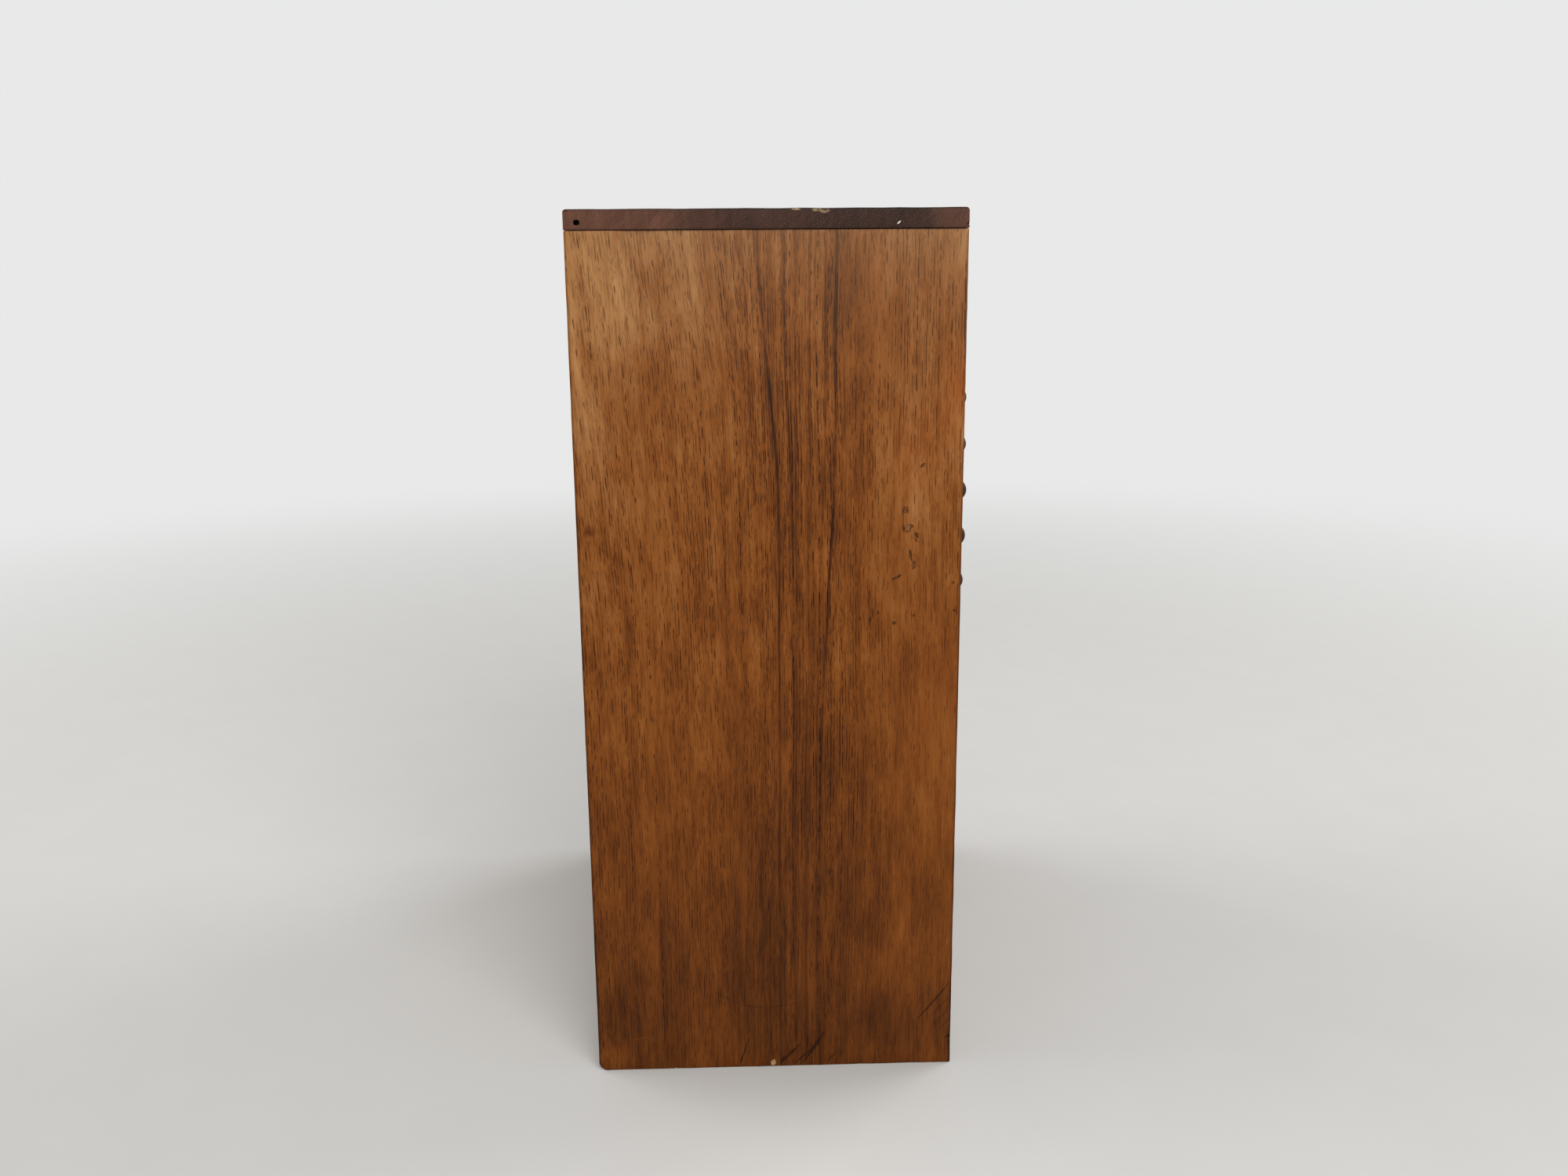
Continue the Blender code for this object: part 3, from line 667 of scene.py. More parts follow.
leftLook = {  # places are mm from the back edge and mm down from the top
    "hand": -1, "face": 150, "back": 104.8, "top": 460, "depth": 195, "wander": 8, "seed": 0,
    "lean": 0.13, "leanDrop": 130, "leanFade": (70, 110), "cloudSlant": 0.3, "climb": (0.84, 0.18),
    "heart": 110, "heartReach": 60, "heartDark": 0.17, "fineFrom": (138, 166),
    # painted sheen at the top: strength at the back and at the front, how fast it fades downwards, its
    # colour
    "paintedSheen": (0.18, 0.36), "sheenDrop": 44, "sheenTone": (140, 112, 86),
    "lines": [  # place, shift, where it starts and ends on the way down, half width, strength
        (92.6, 8.8, 5, 150, 1.2, 0.36), (131.2, -8.6, 80, 300, 1.2, 0.38),
        (105.2, 3.2, 20, 170, 1, 0.24), (86, 6, 0, 260, 0.8, 0.13), (118, -3, 60, 300, 0.9, 0.18),
        (126, -5, 60, 260, 0.8, 0.18), (67.2, 7.4, 12, 90, 0.9, 0.1), (36.5, 1, 60, 300, 1, 0.06),
        (110.6, -1, 100, 320, 0.9, 0.15),
    ],
    "stains": [  # middle, half width and half height, strength
        (7, 156, 5, 4, 0.22), (16, 426, 26, 38, 0.1), (51, 396, 22, 30, 0.05), (90, 380, 26, 40, 0.06),
        (154, 428, 26, 34, 0.07), (187, 435, 4, 5, 0.1), (10, 30, 40, 150, -0.1),
        (60, 0, 150, 46, -0.07), (194.6, 110, 1.8, 9, -0.22), (8, 452, 14, 9, -0.08),
        (37, 380, 3, 60, 0.07), (146.5, 39, 11, 16, 0.07), (142, 85, 12, 14, 0.07),
        (160, 49, 9, 15, 0.06), (125, 36, 7, 18, 0.07), (114, 62, 9, 20, 0.07), (182, 62, 9, 20, 0.05),
        (164, 46, 50, 74, 0.07), (46, 88, 30, 76, 0.09), (127, 52, 14, 60, 0.07),
        (148, 44, 18, 66, 0.06), (178, 245, 26, 74, 0.1), (78, 190, 14, 60, 0.05),
        (188, 138, 7, 9, 0.08), (100, 215, 7, 22, 0.06), (78, 250, 12, 60, 0.08),
        (191, 424, 9, 15, 0.08), (78, 414, 15, 40, 0.08), (14, 168, 16, 34, 0.06),
        (178, 166, 20, 34, 0.06), (101, 20, 12, 26, -0.06), (138, 44, 30, 60, 0.05),
        (106, 290, 26, 64, -0.05), (78, 300, 14, 190, 0.05), (176, 364, 18, 30, 0.04),
    ],
    "glow": [  # middle, half width and half height, strength
        (190, 92, 12, 40, 0.4), (172, 120, 20, 40, 0.25), (180, 250, 22, 70, 0.14),
    ],
    "scratchesAndShade": [  # start, end, half width, strength
        (7.2, 156, 11.5, 165, 2.4, 0.1), (11.5, 165, 23.1, 173.2, 2.6, 0.08),
        (23.1, 173.2, 24.4, 230, 3.4, 0.07), (82.9, 442.4, 78.4, 456.9, 0.8, 0.22),
        (79.6, 452, 78, 458.6, 0.9, 0.2), (112, 445.6, 101, 457.5, 1, 0.26),
        (125.1, 438.7, 113.3, 457.8, 1.4, 0.32), (102.6, 453.4, 100.4, 459, 1.3, 0.24),
        (117.5, 449.5, 107.8, 459, 0.8, 0.22), (131.6, 451, 126.4, 458.2, 0.8, 0.2),
        (136, 449, 131, 458, 0.6, 0.12), (64, 413.2, 78.9, 421.7, 0.9, 0.07),
        (78.9, 421.7, 96.1, 423.5, 0.9, 0.08), (96.1, 423.5, 113.4, 420.2, 0.9, 0.06),
        (194.2, 410.3, 176.4, 432.8, 1, 0.24), (194.4, 418.9, 183, 431.6, 0.9, 0.13),
        (194.6, 425, 186, 436, 0.8, 0.1), (194.8, 431, 189.4, 438.9, 0.9, 0.13),
        # from here to the stroke at 160, 182.8 the strokes ring the dents: partly scratches, partly painted
        # shade along their edges
        (164.3, 145.6, 167.7, 146, 0.6, 0.4), (164.4, 146, 164.7, 149.6, 0.55, 0.34),
        (167.7, 146.4, 167.4, 149.4, 0.55, 0.3), (164.7, 153.6, 165.2, 158.2, 0.75, 0.4),
        (165.4, 158.4, 169.6, 157.7, 0.6, 0.34), (169.6, 154.4, 170.3, 157.2, 0.55, 0.28),
        (170, 158.2, 173.8, 160.4, 0.55, 0.34), (172.8, 158.4, 171, 163.8, 0.6, 0.32),
        (170.2, 161.3, 172.9, 164, 0.5, 0.28), (172.9, 152.6, 172.6, 156.6, 0.5, 0.3),
        (168.3, 167.4, 169.5, 173.4, 0.7, 0.4), (171, 172.6, 169.9, 178.6, 0.6, 0.34),
        (160, 182.8, 164.2, 180.6, 0.8, 0.36), (194.9, 443, 191.4, 444, 0.6, 0.26),
        (19, 441.2, 26.5, 440, 0.7, -0.1),
    ],
}
rightLook = dict(
    leftLook, hand=1, lean=0.1, leanFade=(90, 170), heart=70, cloudSlant=-0.2, seed=500,
    lines=[
        (64, 4, 20, 300, 1.4, 0.22), (82, -5, 60, 360, 1.2, 0.18), (73, 2, 0, 240, 1, 0.12),
    ],
    stains=[(170, 420, 30, 50, 0.1)],
    scratchesAndShade=[(40, 300, 58, 330, 1.6, 0.2)],
)
leftGouges = [  # back, down, half width, half height, depth, turn
    (166, 147.6, 1.5, 1.3, 0.55, 0), (167.4, 156.2, 2.7, 1.7, 0.85, -14),
    (171.6, 160.3, 1.6, 0.8, 0.45, 35), (168.9, 170.6, 0.7, 2.6, 0.5, -6),
    (170.5, 175.6, 1, 2.3, 0.6, 10), (161.9, 181.9, 2.8, 0.85, 0.55, -28),
    (174.2, 124.6, 1.7, 0.8, 0.5, -40), (191, 185.1, 0.5, 0.9, 0.4, 0), (191.7, 199.7, 0.7, 1, 0.45, 0),
    (148.5, 203.8, 0.6, 1.6, 0.35, 0), (152.6, 200.4, 0.5, 1.3, 0.3, 0),
    (143.1, 203.3, 0.5, 1.3, 0.35, 0), (160.7, 206.1, 1.2, 1.2, 0.35, 0),
    (170.8, 202.2, 0.5, 0.8, 0.35, 0), (96.7, 457.4, 1.7, 2.3, 0.9, 4), (0.4, 28.5, 0.8, 1.3, 0.8, 0),
    (194.9, 106, 0.6, 3.2, 0.8, 2), (195, 113.5, 0.5, 2.4, 0.7, -2), (193.6, 443.5, 1.6, 0.4, 0.6, -14),
    (42.5, 459.6, 0.7, 0.6, 0.6, 0),
]
leftSide = makeSide("leftSide", "left_side", -1)
cutMarks(leftSide, leftGouges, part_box("left_side")[0].x, sideBoard["gougeSeed"])
smoothed(leftSide, sideBoard["smooth"])
settle(leftSide, "left_side", "case", sideWood("sideWoodLeft", leftLook))
rightSide = makeSide("rightSide", "right_side", 1)
smoothed(rightSide, sideBoard["smooth"])
settle(rightSide, "right_side", "case", sideWood("sideWoodRight", rightLook))
print("sides made")


# the top board, end grain showing over the sides

topBoard = {
    "round": 1.6 * mm, "roundSteps": 4, "wear": 0.4 * mm, "wearSize": 12 * mm, "wearReach": 2,
    "sharp": 1 * mm, "rings": 70, "columns": 46, "smooth": 30,
}


def makeTop():
    low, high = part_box("top_board")
    top = boxPiece("topBoard", low, high)
    divide(top, 0, topBoard["rings"])
    divide(top, 1, topBoard["columns"])
    roundEdges(top, low, high, topBoard["round"], topBoard["roundSteps"], lambda points: all(
        point.z > low.z + apart for point in points
    ))
    reach = topBoard["wearReach"] * topBoard["round"]

    def nearEdge(point):
        inside = min(point.x - low.x, high.x - point.x, point.y - low.y, high.y - point.y)
        return inside < reach and point.z > low.z + topBoard["sharp"]

    wornBy(top, topBoard["wear"], topBoard["wearSize"], nearEdge)
    return top


topLook = {  # places are mm from the back edge and mm down from the top
    "back": 104.8, "top": 460, "end": 150, "depth": 195, "wander": 30, "far": 90, "poreSize": 0.9,
    "tone": 0.48, "figure": 0.4, "cloud": 0.45, "streak": 0.3, "rubbed": (0.5, 4.5, 0.16, 0),
    "rubDrift": 9, "pore": (132, 120, 110), "pores": 0.9, "rough": (0.48, 0.14), "deep": 0.1 * mm,
    "endTone": 0.28, "rings": 0.3, "upright": 0.34, "swirl": ((41, 10), (52, 3), 5),
    "swirlPale": 0.08, "endFrom": (5.5, 1.2), "onEdge": (0.9, 2, 1, 0),
    "endPale": [  # start, end, and how pale each is
        (38, 78, 0.34, 0.08), (170, 188, 0, 0.34), (96, 140, 0, -0.12), (6, 30, 0.07, 0),
    ],
    # painted shade: darker along the end's top edge, and along its lower edge at the joint with the side
    "endShade": [(0.3, 1.8, 0.2, 0), (8.8, 9.6, 0, 0.16)],
    "darkDots": (0.36, 0.46, -0.09, 0), "paleDots": (0.6, 0.72), "dotShare": 0.45, "dotRelief": 0.3,
    "dotTone": (120, 92, 78), "nailHole": (6.5, 6.3), "nailSize": (2.7, 2.1), "nailDeep": 5, "nailOver": 1,
    "nailShade": (2.3, 2), "nailTone": (16, 10, 8), "chipSeed": 40,
    "chips": [  # back, down, half width, half height, depth, turn
        (121.4, 0.6, 1.9, 0.9, 1.1, 8), (125, 0.9, 2.6, 1.2, 1.5, -6), (111.5, 0.3, 2.4, 0.5, 0.7, 0),
        (194.6, 7.9, 0.9, 0.7, 1.4, 0), (1, 0.6, 1.3, 0.8, 0.9, 20),
    ],
    "paleChips": [((125, 1.3), (3.4, 1.7)), ((121, 0.9), (2.4, 1.2)), ((111.5, 0.6), (3, 0.8))],
    "chipPale": 1.6, "chipTone": (156, 132, 104),
    "nick": ((160.2, 7.8), (161.7, 6.4), 0.6), "nickTone": (222, 214, 200),
}
endStops = [(0, (32, 20, 15)), (0.3, (58, 39, 31)), (0.6, (88, 57, 44)), (0.9, (118, 80, 62))]


def topWood(name, look):  # long grain on its faces, end grain over the sides
    paint = Paint(name)
    x, y, z = paint.place()
    back, down = look["back"] - y, look["top"] - z
    flat = paint.point(back, down)
    drift = paint.noise(x * 0.005, y * 0.012, z * 0.012, 2) - 0.5
    grain = woodGrain(paint, y + drift * look["wander"], x, z + look["far"], look["poreSize"])
    cloud = paint.noise(x * 0.012, y * 0.03, z * 0.03, 3) - 0.5
    tone = grainTone(grain, cloud, look["tone"], look["figure"], look["cloud"], look["streak"])
    rim = paint.least(paint.least(back, look["depth"] - back), look["end"] - abs(x))
    rubbed = paint.rise(rim + cloud * look["rubDrift"], *look["rubbed"])
    colour = woodColour(paint, grain, tone + rubbed, darkStops, look["pore"], look["pores"])
    # the ends
    tilt = back * 0.8 + down * 0.9 + drift * 20
    rings = paint.noise(tilt * 0.3, x * 0.01, down * 0.02, 3, 0.6) - 0.5
    upright = paint.noise(back * 0.22, down * 0.03, x * 0.02, 2, 0.6) - 0.5
    dots = paint.noise(back * 1.7, down * 1.7, x * 0.3, 1)
    tone = look["endTone"] + rings * look["rings"] + upright * look["upright"]
    tone = tone + paint.stroke(flat, *look["swirl"]) * look["swirlPale"]
    for stretch in look["endPale"]:
        tone = tone + paint.rise(back, *stretch)
    # painted shade along the end's upper and lower edges
    for stretch in look["endShade"]:
        tone = tone - paint.rise(down, *stretch)
    ends = paint.ramp(tone + paint.rise(dots, *look["darkDots"]), endStops)
    ends = paint.mix(paint.rise(dots, *look["paleDots"]) * look["dotShare"], ends, srgb(*look["dotTone"]))
    left = paint.rise(x, -9, 9, 1, 0)  # chips, nick and nail hole are at the left end
    pale = 0
    for middle, reach in look["paleChips"]:
        pale = pale + paint.spot(flat, middle, reach) * look["chipPale"]
    pale = paint.least(pale * paint.rise(dots, 0.3, 0.6), 1) * left
    ends = paint.mix(pale, ends, srgb(*look["chipTone"]))
    ends = paint.mix(paint.stroke(flat, *look["nick"]) * left, ends, srgb(*look["nickTone"]))
    # painted shade darkens the nail hole and a little of the wood around it
    hole = paint.spot(flat, look["nailHole"], look["nailShade"]) + (dots - 0.5) * 0.5
    ends = paint.mix(paint.rise(hole, 0.1, 0.5) * left, ends, srgb(*look["nailTone"]))
    atEnd = paint.rise(abs(x), *[look["end"] - inset for inset in look["endFrom"]])
    colour = paint.mix(paint.least(atEnd, paint.rise(rim, *look["onEdge"])), colour, ends)
    dull = dulled(grain, cloud, *look["rough"])
    return paint.finish(colour, dull, poreRelief(grain) + dots * look["dotRelief"], look["deep"])


top = makeTop()
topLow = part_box("top_board")[0]
holeY = caseBack - topLook["nailHole"][0] * mm
holeZ = cadBox[1][2] - topLook["nailHole"][1] * mm
halfHole = [size * mm / 2 for size in topLook["nailSize"]]
cutAway(top, [boxPiece(
    "cutter", (topLow.x - topLook["nailOver"] * mm, holeY - halfHole[0], holeZ - halfHole[1]),
    (topLow.x + topLook["nailDeep"] * mm, holeY + halfHole[0], holeZ + halfHole[1]),
)])
cutMarks(top, topLook["chips"], topLow.x, topLook["chipSeed"])
smoothed(top, topBoard["smooth"])
settle(top, "top_board", "case", topWood("topWood", topLook))
print("top made")


# drawer fronts, each with its own board of wood

frontBoard = {
    "edge": 0.8 * mm, "edgeSteps": 3, "wear": 0.3 * mm, "wearSize": 7 * mm, "wearReach": 2.5,
    "gap": 0.2 * mm, "over": 1 * mm, "guard": 2.6 * mm, "partsGrid": (40, 8), "wideGrid": (80, 20),
    "partsLap": 4 * mm, "partsWall": 5 * mm, "partsLift": 3 * mm, "partsFloor": 3 * mm,
    "wideLap": 4 * mm, "wideWall": 7 * mm, "wideLift": 4.8 * mm, "wideFloor": 4 * mm,
    "hole": 2.9 * mm, "holeSides": 32, "holeReach": 4, "smooth": 30,
}


def makeFront(drawer, kind):
    low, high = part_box(f"{drawer}_front")
    front = boxPiece(f"{drawer}Front", low, high)
    columns, rings = frontBoard[f"{kind}Grid"]
    divide(front, 0, columns)
    divide(front, 2, rings)
    sliceAt(front, 1, low.y + frontBoard["guard"])
    roundEdges(front, low, high, frontBoard["edge"], frontBoard["edgeSteps"], lambda points: all(
        point.y < high.y - apart for point in points
    ))
    reach = frontBoard["wearReach"] * frontBoard["edge"]

    def nearEdge(point):
        inside = min(point.x - low.x, high.x - point.x, point.z - low.z, high.z - point.z)
        return inside < reach and point.y < low.y + reach

    wornBy(front, frontBoard["wear"], frontBoard["wearSize"], nearEdge)
    gap, over = frontBoard["gap"], frontBoard["over"]
    lap, wall = frontBoard[f"{kind}Lap"], frontBoard[f"{kind}Wall"] + gap
    floor = low.z + frontBoard[f"{kind}Lift"] - gap
    behind, lapY = high.y + over, low.y + lap
    laps = [
        boxPiece("cutter", (low.x - over, lapY, low.z - over), (low.x + wall, behind, high.z + over)),
        boxPiece("cutter", (high.x - wall, lapY, low.z - over), (high.x + over, behind, high.z + over)),
    ]
    cutAway(front, laps)
    ceiling = floor + frontBoard[f"{kind}Floor"] + 2 * gap
    cutAway(front, [boxPiece("cutter", (low.x - over, lapY, floor), (high.x + over, behind, ceiling))])
    knobLow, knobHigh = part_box(f"{drawer}_knob")
    middle = (knobLow + knobHigh) / 2
    middle.y = (low.y + high.y) / 2
    noneSelected()
    bpy.ops.mesh.primitive_cylinder_add(
        vertices=frontBoard["holeSides"], radius=frontBoard["hole"],
        depth=frontBoard["holeReach"] * (high.y - low.y), location=middle,
        rotation=(math.radians(90), 0, 0),
    )
    bpy.ops.object.transform_apply()
    cutAway(front, [bpy.context.object])
    smoothed(front, frontBoard["smooth"])
    return front


frontLook = {
    "wander": 22, "tone": 0.5, "toneSpread": 0.11, "seed": 7, "seedStep": 57, "laneStep": 1.7,
    "through": 0.5, "figure": 0.34, "cloud": 0.5, "cloudLean": 0.5, "streak": 0.26,
    "vein": (0.5, 0.68, 0, 0.1), "rubbed": 0.2, "rubReach": (0.2, 2.6, 1, 0), "rubDrift": 4,
    "rubFray": 1.6, "grime": 0.14, "grimeReach": (19, 15.2), "ring": 0.2, "ringReach": (7.5, 7.5),
    "handDrift": 9, "pore": (128, 108, 90), "pores": 0.85, "stainEnds": (1.6, 3.4), "stainDrift": 2,
    "bareShare": 0.85, "bareTone": (0.3, 0.5), "bareCloud": 0.4, "rough": (0.44, 0.14),
    "rubRough": 0.1, "grimeRough": 0.08,
}


def frontWood(name, seed, tone, drawer):
    paint, look = Paint(name), frontLook
    x, y, z = paint.place()
    low, high = [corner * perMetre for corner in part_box(f"{drawer}_front")]
    middle = sum(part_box(f"{drawer}_knob"), Vector()) / 2 * perMetre
    far = y * look["through"] + seed
    drift = grainPattern(paint, "drift", z, x, far) - 0.5
    grain = woodGrain(paint, z + drift * look["wander"] + seed * look["laneStep"], x, far)
    cloud = grainPattern(paint, "cloud", z, x + z * look["cloudLean"], far) - 0.5
    tone = grainTone(grain, cloud, tone, look["figure"], look["cloud"], look["streak"])
    tone = tone - paint.rise(grain["vein"], *look["vein"])
    rim = paint.least(paint.least(x - low.x, high.x - x), paint.least(z - low.z, high.z - z))
    uneven = cloud * look["rubDrift"] + (grain["fibre"] - 0.5) * look["rubFray"]
    rubbed = paint.rise(rim + uneven, *look["rubReach"])
    flat = paint.point(x + cloud * look["handDrift"], z + drift * look["handDrift"])
    hands = paint.spot(flat, (middle.x, middle.z), look["grimeReach"])
    ring = paint.spot(flat, (middle.x, middle.z), look["ringReach"])
    tone = tone + rubbed * look["rubbed"] - hands * look["grime"] - ring * look["ring"]
    colour = woodColour(paint, grain, tone, frontStops, look["pore"], look["pores"])
    bare = paint.ramp(spread(grain["fibre"], look["bareTone"]) + cloud * look["bareCloud"], backStops)
    inside = paint.rise(y - low.y + cloud * look["stainDrift"], *look["stainEnds"])
    colour = paint.mix(inside * look["bareShare"], colour, bare)  # the stain stops behind the face
    dull = dulled(grain, cloud, *look["rough"]) + rubbed * look["rubRough"] - hands * look["grimeRough"]
    return paint.finish(colour, dull, poreRelief(grain), grainMix["poreDeep"])


partsDrawers = [f"{column}_parts_drawer_{row}" for row in range(1, 6) for column in ("left", "right")]
wideDrawers = ["top_drawer", "deep_drawer_1", "deep_drawer_2", "deep_drawer_3"]
allDrawers = wideDrawers + partsDrawers
toneDraw = random.Random(frontLook["seed"])
for number, drawer in enumerate(allDrawers):
    kind = "parts" if drawer in partsDrawers else "wide"
    tone = frontLook["tone"] + toneDraw.uniform(-1, 1) * frontLook["toneSpread"]
    wood = frontWood(f"frontWood{number}", frontLook["seedStep"] * number, tone, drawer)
    settle(makeFront(drawer, kind), f"{drawer}_front", drawer, wood)
print("drawer fronts made")


# turned knobs: one is modelled, and the others are copies

knobTurning = {
    "sides": 32, "levels": 1, "smooth": 50,
    "stations": [  # radius, distance out from the drawer front
        (2.6, -7.4), (2.6, 0), (4.4, 0.2), (4.6, 0.45), (4.6, 0.8), (4.35, 1.05), (3.6, 1.5), (3.15, 2.4),
        (3.1, 3.4), (3.35, 4.5), (4.3, 5.6), (5.6, 6.6), (6.35, 7.7), (6.5, 8.7), (6.3, 10.1), (5.7, 11.6),
        (4.7, 13), (3.2, 14.2), (1.6, 14.8), (0.5, 14.97),
    ],
}
knobLook = {
    "poreSize": 0.5, "cloudSize": 0.12, "tone": 0.45, "streak": 0.6, "cloud": 0.5, "cloudRough": 0.2,
    "stops": [(0, (28, 15, 9)), (0.5, (54, 31, 19)), (1, (92, 57, 36))], "pore": (150, 140, 130),
    "pores": 0.8, "rough": 0.5, "deep": 0.05 * mm, "gloss": 0.08,
}


def knobWood(name, look):
    paint = Paint(name)
    x, y, z = paint.place()
    grain = woodGrain(paint, z, x, y, look["poreSize"])
    cloud = paint.noise(*[part * look["cloudSize"] for part in (x, y, z)], 3) - 0.5
    tone = look["tone"] + (grain["streak"] - 0.5) * look["streak"] + cloud * look["cloud"]
    colour = woodColour(paint, grain, tone, look["stops"], look["pore"], look["pores"])
    dull = look["rough"] + cloud * look["cloudRough"]
    return paint.finish(colour, dull, 0 - grain["pore"], look["deep"], look["gloss"])


def knobSeat(drawer):
    low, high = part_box(f"{drawer}_knob")
    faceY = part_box(f"{drawer}_front")[0].y
    return Vector(((low.x + high.x) / 2, faceY, (low.z + high.z) / 2))


knobFinish = knobWood("knobWood", knobLook)
firstSeat = knobSeat(wideDrawers[0])
firstKnob = turned(f"{wideDrawers[0]}Knob", knobTurning["stations"], knobTurning["sides"], firstSeat, -1)
applied(firstKnob, "SUBSURF", levels=knobTurning["levels"], render_levels=knobTurning["levels"])
smoothed(firstKnob, knobTurning["smooth"])
for drawer in allDrawers:
    knob = firstKnob
    if drawer != wideDrawers[0]:
        knob = copied(firstKnob, f"{drawer}Knob", Matrix.Translation(knobSeat(drawer) - firstSeat))
    settle(knob, f"{drawer}_knob", drawer, knobFinish)
print("knobs turned")


# boards that keep their CAD shape

boardLooks = {  # along, across and through the board, seed, tones, pores, settings
    "shelf": ("xyz", 210, sideStops, (128, 108, 90), {
        "wander": 20, "tone": 0.42, "cloud": 0.4, "rough": 0.55, "bareFrom": -84,
    }),
    "divider": ("zyx", 330, sideStops, (128, 108, 90), {
        "wander": 14, "tone": 0.42, "cloud": 0.4, "rough": 0.55, "bareFrom": -84,
    }),
    "box": ("yxz", 420, paleStops, (168, 148, 128), {
        "wander": 16, "tone": 0.46, "cloud": 0.5, "rough": 0.66, "worn": 0.3,
    }),
    "floor": ("xyz", 540, paleStops, (168, 148, 128), {
        "wander": 26, "tone": 0.5, "cloud": 0.5, "rough": 0.66, "worn": 0.4,
    }),
    "back": ("zxy", 650, backStops, (140, 122, 106), {
        "wander": 40, "tone": 0.42, "cloud": 0.7, "rough": 0.7, "worn": 0.12, "foot": 0.3,
    }),
}
boardWoods = {key: plainWood(f"{key}Wood", *look) for key, look in boardLooks.items()}
boardKeys = {  # part of a node's name, and its wood
    "shelf_": "shelf", "bottom_board": "shelf", "centre_divider": "divider", "back_panel": "back",
    "_tray": "box", "_frame": "box", "_floor": "floor",
}
for name, node in nodes.items():
    for part, key in boardKeys.items():
        if part in name:
            node.material_slots[0].material = boardWoods[key]
print("boards painted")


# brads in the back board and at the drawers' front corners: one is modelled, the others are copies

bradHead = {
    "sides": 14, "smooth": 40, "fromEdge": 2.4 * mm, "behindFace": 6.4 * mm,
    "stations": [(1.15, -0.6), (1.15, 0), (1.035, 0.11), (0.621, 0.22)],  # radius, height of the ring
    "backRows": [22, 82, 142, 202, 262, 322, 382, 438], "acrossShelf": [-96, -32, 32, 96],
    "wideShares": (0.14, 0.5, 0.86), "partsShares": (0.48, 0.84),
}
ironLook = {
    "size": 0.7, "stops": [(0.3, (46, 40, 37)), (0.55, (70, 56, 47)), (0.75, (104, 68, 44))],
    "metal": 0.6, "rough": (0.45, 0.3), "deep": 0.08 * mm, "gloss": 0.5,
}


def iron(name, look):
    paint = Paint(name)
    rust = paint.noise(*[part * look["size"] for part in paint.place()], 3)
    colour = paint.ramp(rust, look["stops"])
    paint.shader.inputs["Metallic"].default_value = look["metal"]
    return paint.finish(colour, spread(rust, look["rough"]), rust, look["deep"], look["gloss"])


bradPattern = turned("brad", bradHead["stations"], bradHead["sides"], Vector(), 1)
bradIron = iron("bradIron", ironLook)


def brads(name, body, spots):  # spots are places with the turn about z that faces each head outwards
    copies = []
    for place, turn in spots:
        move = Matrix.Translation(place) @ Matrix.Rotation(math.radians(turn), 4, "Z")
        copies.append(copied(bradPattern, "brad", move))
    row = named(joined(copies), name)
    smoothed(row, bradHead["smooth"])
    row.data.materials.clear()
    row.data.materials.append(bradIron)
    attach(row, body)


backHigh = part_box("back_panel")[1]
backSpots = []
for height in bradHead["backRows"]:
    for hand in (-1, 1):
        backSpots.append((Vector((hand * (backHigh.x - bradHead["fromEdge"]), backHigh.y, height * mm)), 0))
for shelf in shelfNames:
    shelfLow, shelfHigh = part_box(shelf)
    for across in bradHead["acrossShelf"]:
        backSpots.append((Vector((across * mm, backHigh.y, (shelfLow.z + shelfHigh.z) / 2)), 0))
brads("backBrads", "case", backSpots)
for drawer in allDrawers:
    wide = drawer in wideDrawers
    low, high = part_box(f"{drawer}_front")
    boxLow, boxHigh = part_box(f"{drawer}_frame" if wide else f"{drawer}_tray")
    depth = low.y + bradHead["behindFace"]
    sideSpots = []
    for share in bradHead["wideShares"] if wide else bradHead["partsShares"]:
        height = boxLow.z + (boxHigh.z - boxLow.z) * share
        sideSpots.append((Vector((low.x, depth, height)), 90))
        sideSpots.append((Vector((high.x, depth, height)), -90))
    brads(f"{drawer}Brads", drawer, sideSpots)
bpy.data.objects.remove(bradPattern)
print("brads set")


# floor, light and camera

stage = {
    "floor": 14, "floorTone": (206, 205, 202), "speck": 0.02, "speckDark": 4, "speckDeep": 0.1 * mm,
    "rough": (0.8, 0.05), "backdrop": (232, 233, 232), "fill": 0.42, "fade": (0.7, 2.2),
    "lamps": [  # place, size, power
        ((-1.9, -0.6, 1.75), 1.6, 42),
        ((1.2, -2.4, 1.9), 1.8, 40),
        ((0.6, 2.2, 1.8), 1.8, 30),
    ],
    "aim": (0, 0, 0.23),
}


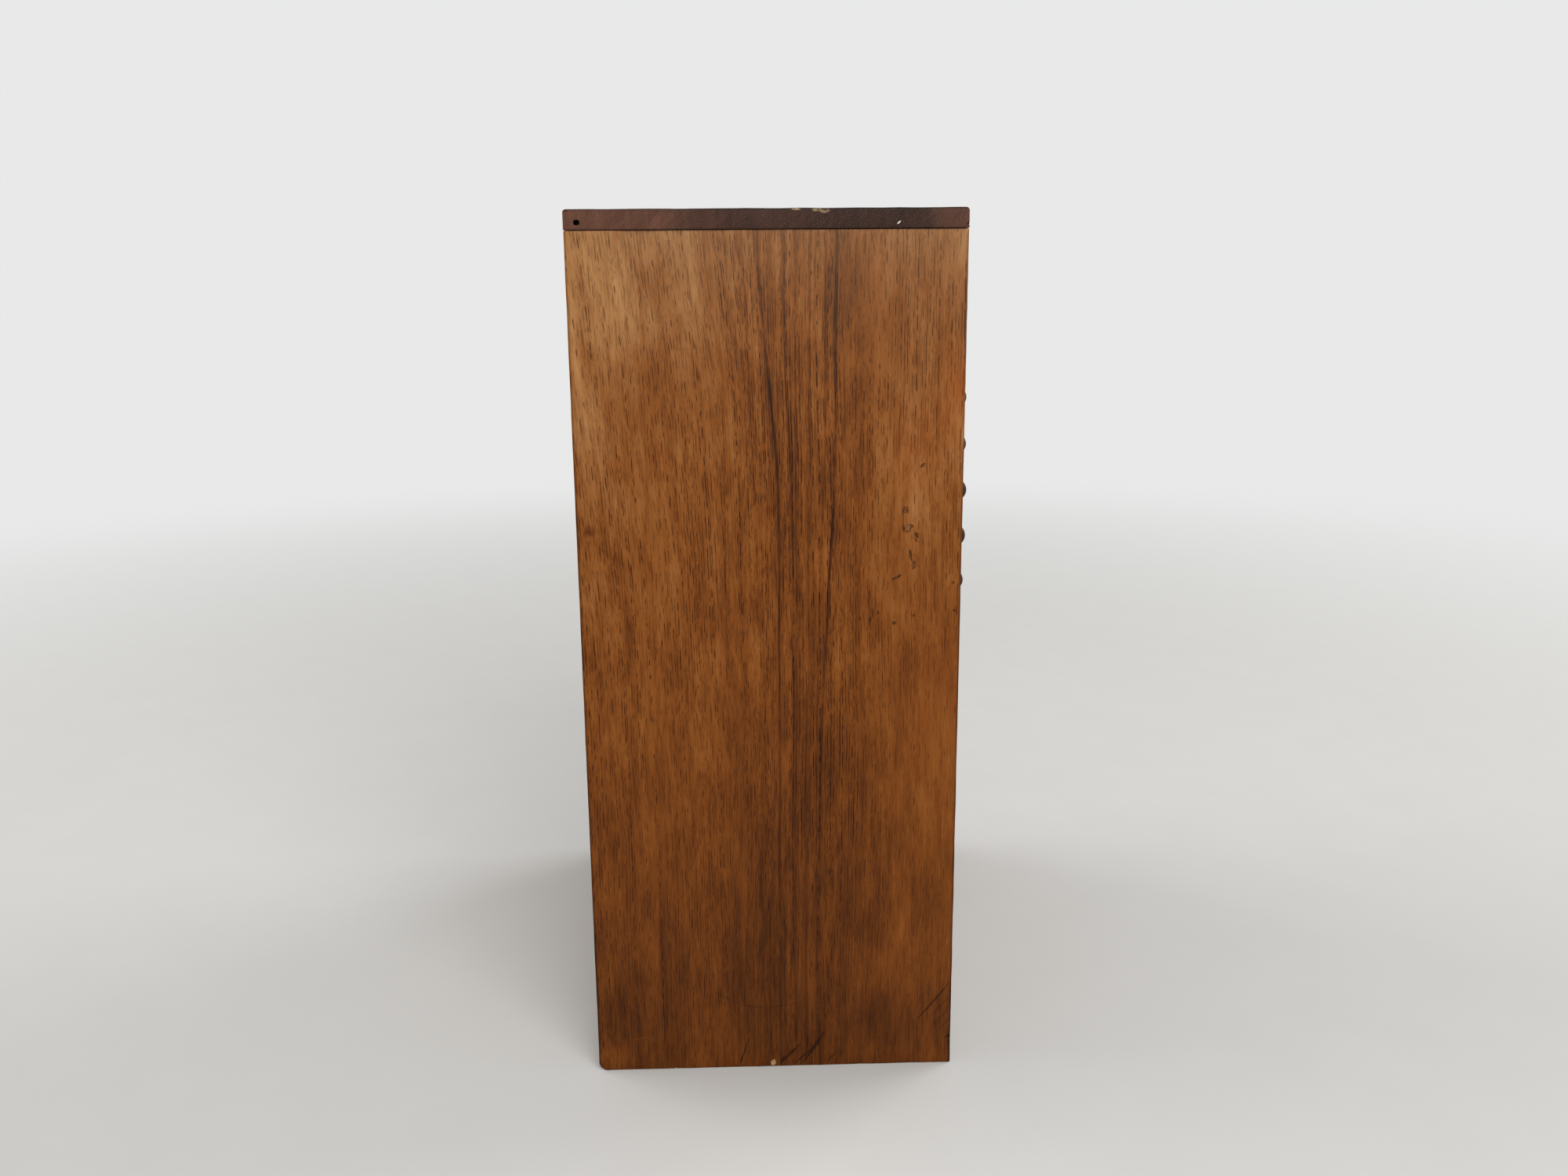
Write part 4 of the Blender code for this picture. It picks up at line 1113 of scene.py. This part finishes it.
def makeStage():
    noneSelected()
    bpy.ops.mesh.primitive_plane_add(size=stage["floor"], location=(0, 0, 0))
    ground = bpy.context.object
    ground.name = "floor"
    paint = Paint("paleFloor")
    x, y, z = paint.place()
    speck = paint.noise(x * stage["speck"], y * stage["speck"], z, 3)
    darker = [part - stage["speckDark"] for part in stage["floorTone"]]
    tone = paint.mix(speck, srgb(*stage["floorTone"]), srgb(*darker))
    rough = spread(speck, stage["rough"])
    ground.data.materials.append(paint.finish(tone, rough, speck, stage["speckDeep"]))
    # far from the chest the floor runs into the backdrop
    distance = ((x * x + y * y) ** 0.5) * mm
    plain = paint.add("ShaderNodeEmission", {}, {"Color": srgb(*stage["backdrop"])})
    paint.backed("Material Output", plain, paint.rise(distance, *stage["fade"]))

    world = Paint("studio", bpy.data.worlds, "Background")
    bpy.context.scene.world = world.material
    world.shader.inputs["Color"].default_value = (1, 1, 1, 1)
    world.shader.inputs["Strength"].default_value = stage["fill"]
    world.backed("World Output", world.add("ShaderNodeBackground", {}, {"Color": srgb(*stage["backdrop"])}))

    for number, (place, size, power) in enumerate(stage["lamps"]):
        lamp = bpy.data.lights.new(f"softbox{number}", "AREA")
        lamp.size = size
        lamp.energy = power
        holder = bpy.data.objects.new(lamp.name, lamp)
        bpy.context.scene.collection.objects.link(holder)
        holder.location = place
        aim = Vector(stage["aim"]) - Vector(place)
        holder.rotation_euler = aim.to_track_quat("-Z", "Y").to_euler()


camera = {  # measured from the left side's outer face and the case's back edge
    "away": 0.6521, "fromBack": 0.0852, "height": 0.4246,
    "turn": 1.68, "tilt": 13.05, "roll": -0.43, "lens": 30.15, "sensor": 36,
}


def makeCamera():
    low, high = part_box("left_side")
    eye = bpy.data.cameras.new("photoCamera")
    eye.lens = camera["lens"]
    eye.sensor_width = camera["sensor"]
    holder = bpy.data.objects.new("photoCamera", eye)
    bpy.context.scene.collection.objects.link(holder)
    holder.location = (low.x - camera["away"], high.y - camera["fromBack"], camera["height"])
    turn, tilt = math.radians(camera["turn"]), math.radians(camera["tilt"])
    ahead = Vector((math.cos(turn), -math.sin(turn), 0)) * math.cos(tilt) - Vector((0, 0, math.sin(tilt)))
    roll = Quaternion((0, 0, 1), math.radians(camera["roll"]))
    holder.rotation_euler = (ahead.to_track_quat("-Z", "Y") @ roll).to_euler()
    bpy.context.scene.camera = holder


makeStage()
makeCamera()
bpy.context.scene.view_settings.view_transform = "Standard"
print("stage and camera set")
